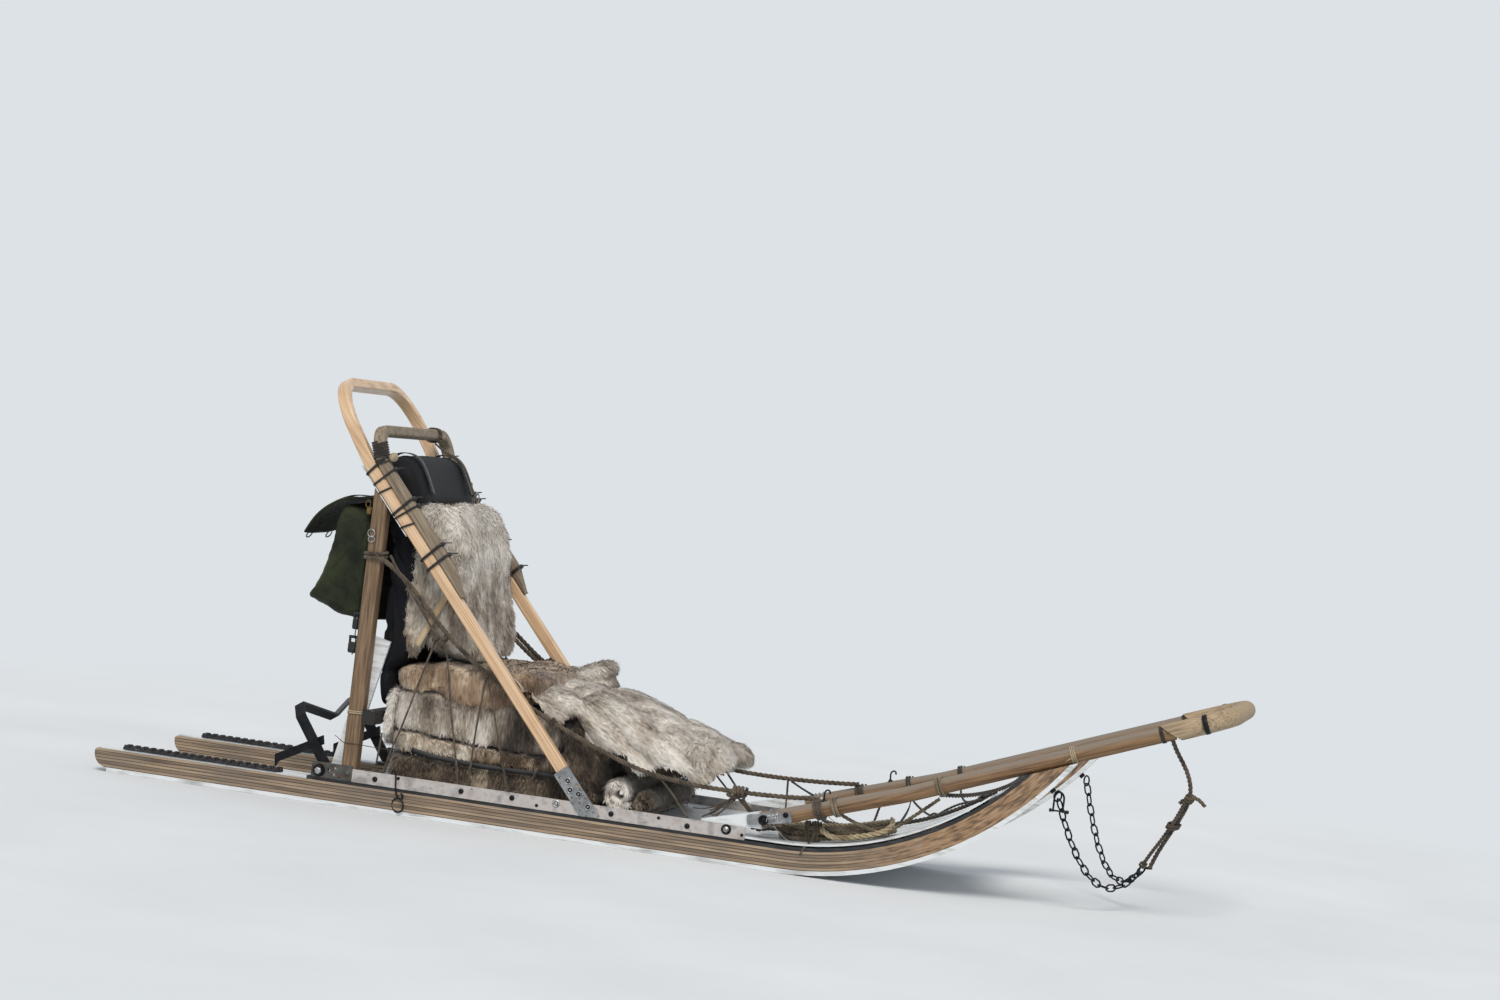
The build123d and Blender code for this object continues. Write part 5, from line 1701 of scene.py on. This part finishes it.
for side, sign in SIDES:
    dark = [bolt(DOME, x, z, sign) for x, z in RAIL_BOLTS]
    dark += [bolt(SMALL_DOME, x, z, sign) for x, z in SMALL_BOLTS]
    dark += [bolt(WASHER, 1553, 81, sign), bolt(WASHER, 564, 78, sign, BRACKET_FACE, 32)]
    new_piece(f"rail_bolts_{side}", dark, "dark_steel")
    pale = [bolt(NUT, 1553, 81, sign, RAIL_FACE + 0.5, 6), bolt(THIN_WASHER, 1146, 82, sign)]
    pale += [bolt(SMALL_DOME, 1146, 82, sign, RAIL_FACE + 0.6)]
    pale += [bolt(FLAT_NUT, 564, 78, sign, BRACKET_FACE + 0.6, 6)]
    new_piece(f"rail_nuts_{side}", pale, "bright_steel")
    rusty = [bolt(DOME, 633, 80, sign), bolt(SMALL_DOME, 614, 70, sign)]
    new_piece(f"bracket_bolts_{side}", rusty, "galvanised_steel")
print("bolts of the rails", len(dark) + len(pale) + len(rusty), "forms a side")

# %% [markdown]
# The plates at the feet of the handle bow are strips of perforated aluminium. Their holes are
# real ones: the outline and the rim of every hole are points of one flat triangulation, the
# triangles inside the holes are left out, and walls join the front to the back.

# %% Helper for plates with holes
from mathutils.geometry import delaunay_2d_cdt


def perforated(outline, holes, place_of, thick):
    """A plate with round holes. Place_of turns its flat coordinates and its depth to a place."""
    loops = [list(outline)] + [
        [(u + radius * math.cos(turn), v + radius * math.sin(turn)) for turn in round_turn(14)]
        for u, v, radius in holes
    ]
    flat = [Vector(point) for loop in loops for point in loop]
    edges, start = [], 0
    for loop in loops:
        count = len(loop)
        edges += [(start + n, start + (n + 1) % count) for n in range(count)]
        start += count
    points, _, triangles, *_ = delaunay_2d_cdt(flat, edges, [], 0, 1e-5)
    kept = []
    for triangle in triangles:
        middle = sum((points[corner] for corner in triangle), Vector((0, 0))) / 3
        if all((middle - Vector((u, v))).length > radius * 0.97 for u, v, radius in holes):
            kept.append(tuple(triangle))
    count = len(points)
    places = [place_of(point.x, point.y, depth) for depth in (0, thick) for point in points]
    faces = kept + [tuple(corner + count for corner in reversed(triangle)) for triangle in kept]
    faces += [(first, second, second + count, first + count) for first, second in edges]
    return to_scene(places), faces


# %% [markdown]
# Bright wire is wound over each pole's foot and its side plate, between the plate's bolts. The
# turns lean one way and the other, and the wire's end runs on down ahead of them.

# %% Helper for the wire lashing
WIRE_REACH = POLE_HALF[0] + 2.5
wire_end = [(1662, 271, 104), (1676, 270, 92), (1694, 268, 76), (1712, 262, 72)]


def wire_lashing(sign):
    """Turns of wire round a pole's foot, and the wire's end."""
    forms = []
    for number, along in enumerate((-11, -6, -1.5, 3, 8, 13)):
        middle = Vector((1656 + along, sign * POLE_ACROSS, 120 + along * 0.33))
        lean = 3 * (-1) ** number
        forms.append(bent_wire([
            middle + Vector((
                math.sin(turn) * lean,
                sign * (WIRE_REACH + 2.2 * abs(math.cos(turn)) ** 3) * math.cos(turn),
                WIRE_REACH * math.sin(turn),
            ))
            for turn in round_turn(20)
        ], 3.4, step=4, closed=True))
    return forms + [bent_wire(mirrored(wire_end, sign), 2.2)]


# %% Plates and lashings at both sides
PLATE_MIDDLE = LEG_FOOT + LEG_WAY * 64
PLATE_INNER, PLATE_OUTER, POLE_PLATE = RAIL_FACE + 0.1, 273, RAIL_FACE + 1.3
plate_outline = [
    (66, -20), (69, -19), (70, -16), (70, 16), (69, 19), (66, 20), (-64, 20), (-69, 18.5),
    (-70, 15), (-46, -17), (-42, -20),
]
plate_holes = [
    (57, -11, 3.2), (20, 13, 3.2), (-18, 14, 3.2), (-19, -4, 2.8), (-54, 12, 3), (2, -12, 2.6),
    (40, 12, 2.6), (-33, -12, 2.4),
]
plate_bolts = ((1168, 138), (1176, 118), (1197, 111), (1223, 85))
RING = [(8.4, -0.3), (8.4, 1.2), (7.6, 1.9), (5.4, 1.9), (5.4, 0.2)]
STUD = [(2.6, 0), (2.6, 2.4), (1.6, 3)]
CAP = [(5.3, 0), (5.3, 1), (3, 1.8)]
for side, sign in SIDES:
    def on_plate(u, v, depth):
        """A place on the plate: along the leg, square to it, and outwards from the rail."""
        place = PLATE_MIDDLE + LEG_WAY * u + LEG_OUT * v
        return (place.x, sign * (PLATE_INNER + depth), place.z)

    plate = new_piece(
        f"perforated_plate_{side}", [perforated(plate_outline, plate_holes, on_plate, 2.9)],
        "bare_aluminium", smooth=False,
    )
    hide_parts(f"bow_plate_{side}")
    rings = [bolt(form, x, z, sign, PLATE_OUTER) for form in (RING, STUD) for x, z in plate_bolts]
    new_piece(f"plate_rings_{side}", rings, "bright_steel")
    caps = [bolt(CAP, x, z, sign, PLATE_OUTER) for x, z in plate_bolts]
    for form, x, z in ((DOME, 1637, 114), (DOME, 1687, 133), (WASHER, 1637, 114)):
        caps.append(bolt(form, x, z, sign, POLE_PLATE))
    new_piece(f"plate_bolts_{side}", caps, "dark_steel")
    new_piece(f"wire_lashing_{side}", wire_lashing(sign), "bright_steel")
print("perforated plates", len(plate_holes), "holes each")

# %% [markdown]
# Small metal things. An S hook with a ring hangs on the outside of the right rail, for a line.
# A shackle with a pin holds the top of the right chain, and an open hook stands on each pole.
# All are bent round wire, so each is a tube along a smooth line.

# %% Hooks, ring and shackle
def wire_form(points, diameter, closed=False):
    """Thick round wire, drawn finely."""
    return bent_wire(points, diameter, diameter / 2, 10, closed)


def wire_ring(middle, radius, facing, diameter):
    """A closed ring of round wire that faces this way."""
    return wire_form(circle(middle, facing, radius * 1.04, 16), diameter, closed=True)


hook = wire_form([
    (741, -262, 94), (738, -258, 99), (744, -262, 103), (752, -271, 99), (756, -276, 86),
    (757, -275.5, 66), (760, -274, 50), (768, -273.6, 38), (777, -273.6, 40), (777, -273.8, 50),
    (771, -274, 53),
], 4)
ring = wire_ring((767, -273.8, 24), 16, (0.35, 1, 0.1), 4)
new_piece("rail_hook", [hook, ring], "dark_steel")
shackle = [
    wire_form([
        (2289, -250, 226), (2289, -250, 246), (2289, -250, 264), (2300, -250, 274),
        (2311, -250, 264), (2311, -250, 246), (2311, -250, 226),
    ], 4.6),
    wire_form([(2283, -250, 229), (2300, -250, 229), (2318, -250, 229)], 4),
    turned(
        [(0.8, -4.5), (3.6, -3.4), (4.6, 0), (3.6, 3.4), (0.8, 4.5)], (2321, -250, 229), AHEAD, 16,
    ),
    turned([(4.4, -2.5), (4.4, 2.5)], (2283, -250, 229), AHEAD, 6),
]
new_piece("chain_shackle", shackle, "dark_steel")
HOOK_SHAPE = [(-2, 16), (-3, 26), (-4, 38), (2, 45), (10, 42), (9, 36)]
for side, sign, stand in (("r", -1, 1770), ("l", 1, 1828)):
    aside, base = sign * POLE_ACROSS, pole_middle(stand)
    pole_hook = wire_form([(stand + along, aside, base + up) for along, up in HOOK_SHAPE], 4)
    foot = turned(
        [(7, -3), (7, 1), (4, 3), (2.4, 6)], (stand - 2, aside, base + 18), (-POLE_RISE, 0, 1), 16,
    )
    new_piece(f"pole_hook_{side}", [pole_hook, foot], "dark_steel")
print("hooks, ring and shackle")

# %% [markdown]
# Bands and cords on the wood: wire and cord round the foot of each post, a dark band where the
# pole meets the nose, a metal band round the nose itself, and cream cord wound on the right
# pole over an old crack.

# %% Bands on the wood
NOSE_HALF = (18.2, 18.2)
cord_end = [(652, 262, 224), (664, 262, 221), (672, 256, 233)]
wire_ends = (
    [(648, 268, 151), (684, 264, 149), (716, 252, 147), (742, 243, 149)],
    [(613, 266, 151), (603, 268, 158), (592, 268, 165)],
)
for side, sign in SIDES:
    middle = (633, sign * POST_ACROSS, 222)
    post = winding(middle, (0, 0.1, 1), AHEAD, POST_HALF, 2.2, 4)
    post += laid(mirrored(cord_end, sign), 4)
    new_piece(f"post_cord_{side}", post, "pale_rope")
    middle = (631, sign * POST_ACROSS, 150)
    wire = winding(middle, (0.05, 0, 1), AHEAD, (18.4, 18.4), 1.3, 2.4, strands=2)
    for route in wire_ends:
        wire += laid(mirrored(route, sign), 2.4, strands=2)
    new_piece(f"post_wire_{side}", wire, "dark_rope")
    middle = (2512, sign * POLE_ACROSS, pole_middle(2512))
    dark_band = winding(middle, nose_way, LEFT, NOSE_HALF, 4, 2.2, square=2)
    new_piece(f"pole_band_{side}", dark_band, "dark_rope")
    hoop = turned(
        [(22.1, -5), (22.9, -4.4), (22.9, 4.4), (22.1, 5)], (2605, sign * 246, pole_middle(2605)),
        nose_way, 32,
    )
    new_piece(f"nose_band_{side}", [hoop], "dark_steel")
middle = (2322, -POLE_ACROSS, pole_middle(2322))
cream = winding(middle, nose_way, LEFT, NOSE_HALF, 3.2, 4, square=2)
cream += laid([(2318, -270, 352), (2306, -266, 344), (2300, -258, 334)], 4)
new_piece("pole_lashing", cream, "pale_rope")
middle = (1876, POLE_ACROSS, pole_middle(1876))
string = winding(middle, (0.8, 0, 0.45), LEFT, NOSE_HALF, 1.2, 3, square=2)
new_piece("pole_string", string, "pale_rope")
print("bands on the wood")

# %% [markdown]
# On the far side a dark rope runs down along the stay to a thick knot. On the near side the raw
# edge of the hide against the back shows as a strip of bare skin.

# %% Far knot and raw edge
far_knot = winding((952, 236, 356), (0.7, 0.2, -0.6), LEFT, (9, 9), 3.4, 9, square=2)
far_knot += winding((946, 237, 362), (0.3, 0.6, 0.7), AHEAD, (8, 7), 2.4, 8, square=2)
far_knot += laid(
    [(800, 236, 458), (834, 238, 440), (881, 239, 402), (930, 237, 366), (952, 236, 356)], 12,
)
new_piece("far_knot", far_knot, "dark_rope")
edge = webbing(
    [(816, -221, 536), (790, -224, 482), (764, -223, 424), (750, -221, 396)], 15, 3, (790, 0, 470),
)
new_piece("hide_edge", [edge], "rawhide")
print("far knot and raw edge")

# %% [markdown]
# Buckles. A brass clasp and two steel rings hang beside the right post at the bag's mouth, and
# two black side-release buckles hang from its bottom on a short strap, close to the post.

# %% Bag's fittings
def buckle(x, y, z):
    """A side-release buckle: body, two prongs and the strap's loop."""
    forms = [block((x, y, z), UP, AHEAD, LEFT, (26, 24, 9))]
    forms += [block((x + shift, y, z + 17), UP, AHEAD, LEFT, (14, 5, 6)) for shift in (9, -9)]
    return forms + [block((x, y, z + 25), AHEAD, UP, LEFT, (24, 7, 8))]


hanging = webbing(
    [(598, -228, 452), (604, -230, 430), (598, -231, 405), (606, -231, 380), (598, -231, 356)],
    20, 2, (700, -200, 400),
)
new_piece("bag_hanging_strap", [hanging], "black_nylon")
side_buckles = buckle(602, -232, 428) + buckle(598, -233, 372)
new_piece("bag_side_buckles", side_buckles, "black_nylon")
clasp = [
    wire_ring((596, -240, 712), 8, (0.5, 1, 0), 3),
    block((600, -240, 697), UP, AHEAD, LEFT, (18, 12, 4)),
]
rings = [
    wire_ring((622, -269.5, 646), 9, (0.2, 1, 0), 2.6),
    wire_ring((624, -270, 632), 7, (-0.3, 1, 0.2), 2.4),
]
new_piece("bag_clasp", clasp, "brass")
new_piece("bag_rings", rings, "bright_steel")
print("bag's fittings")
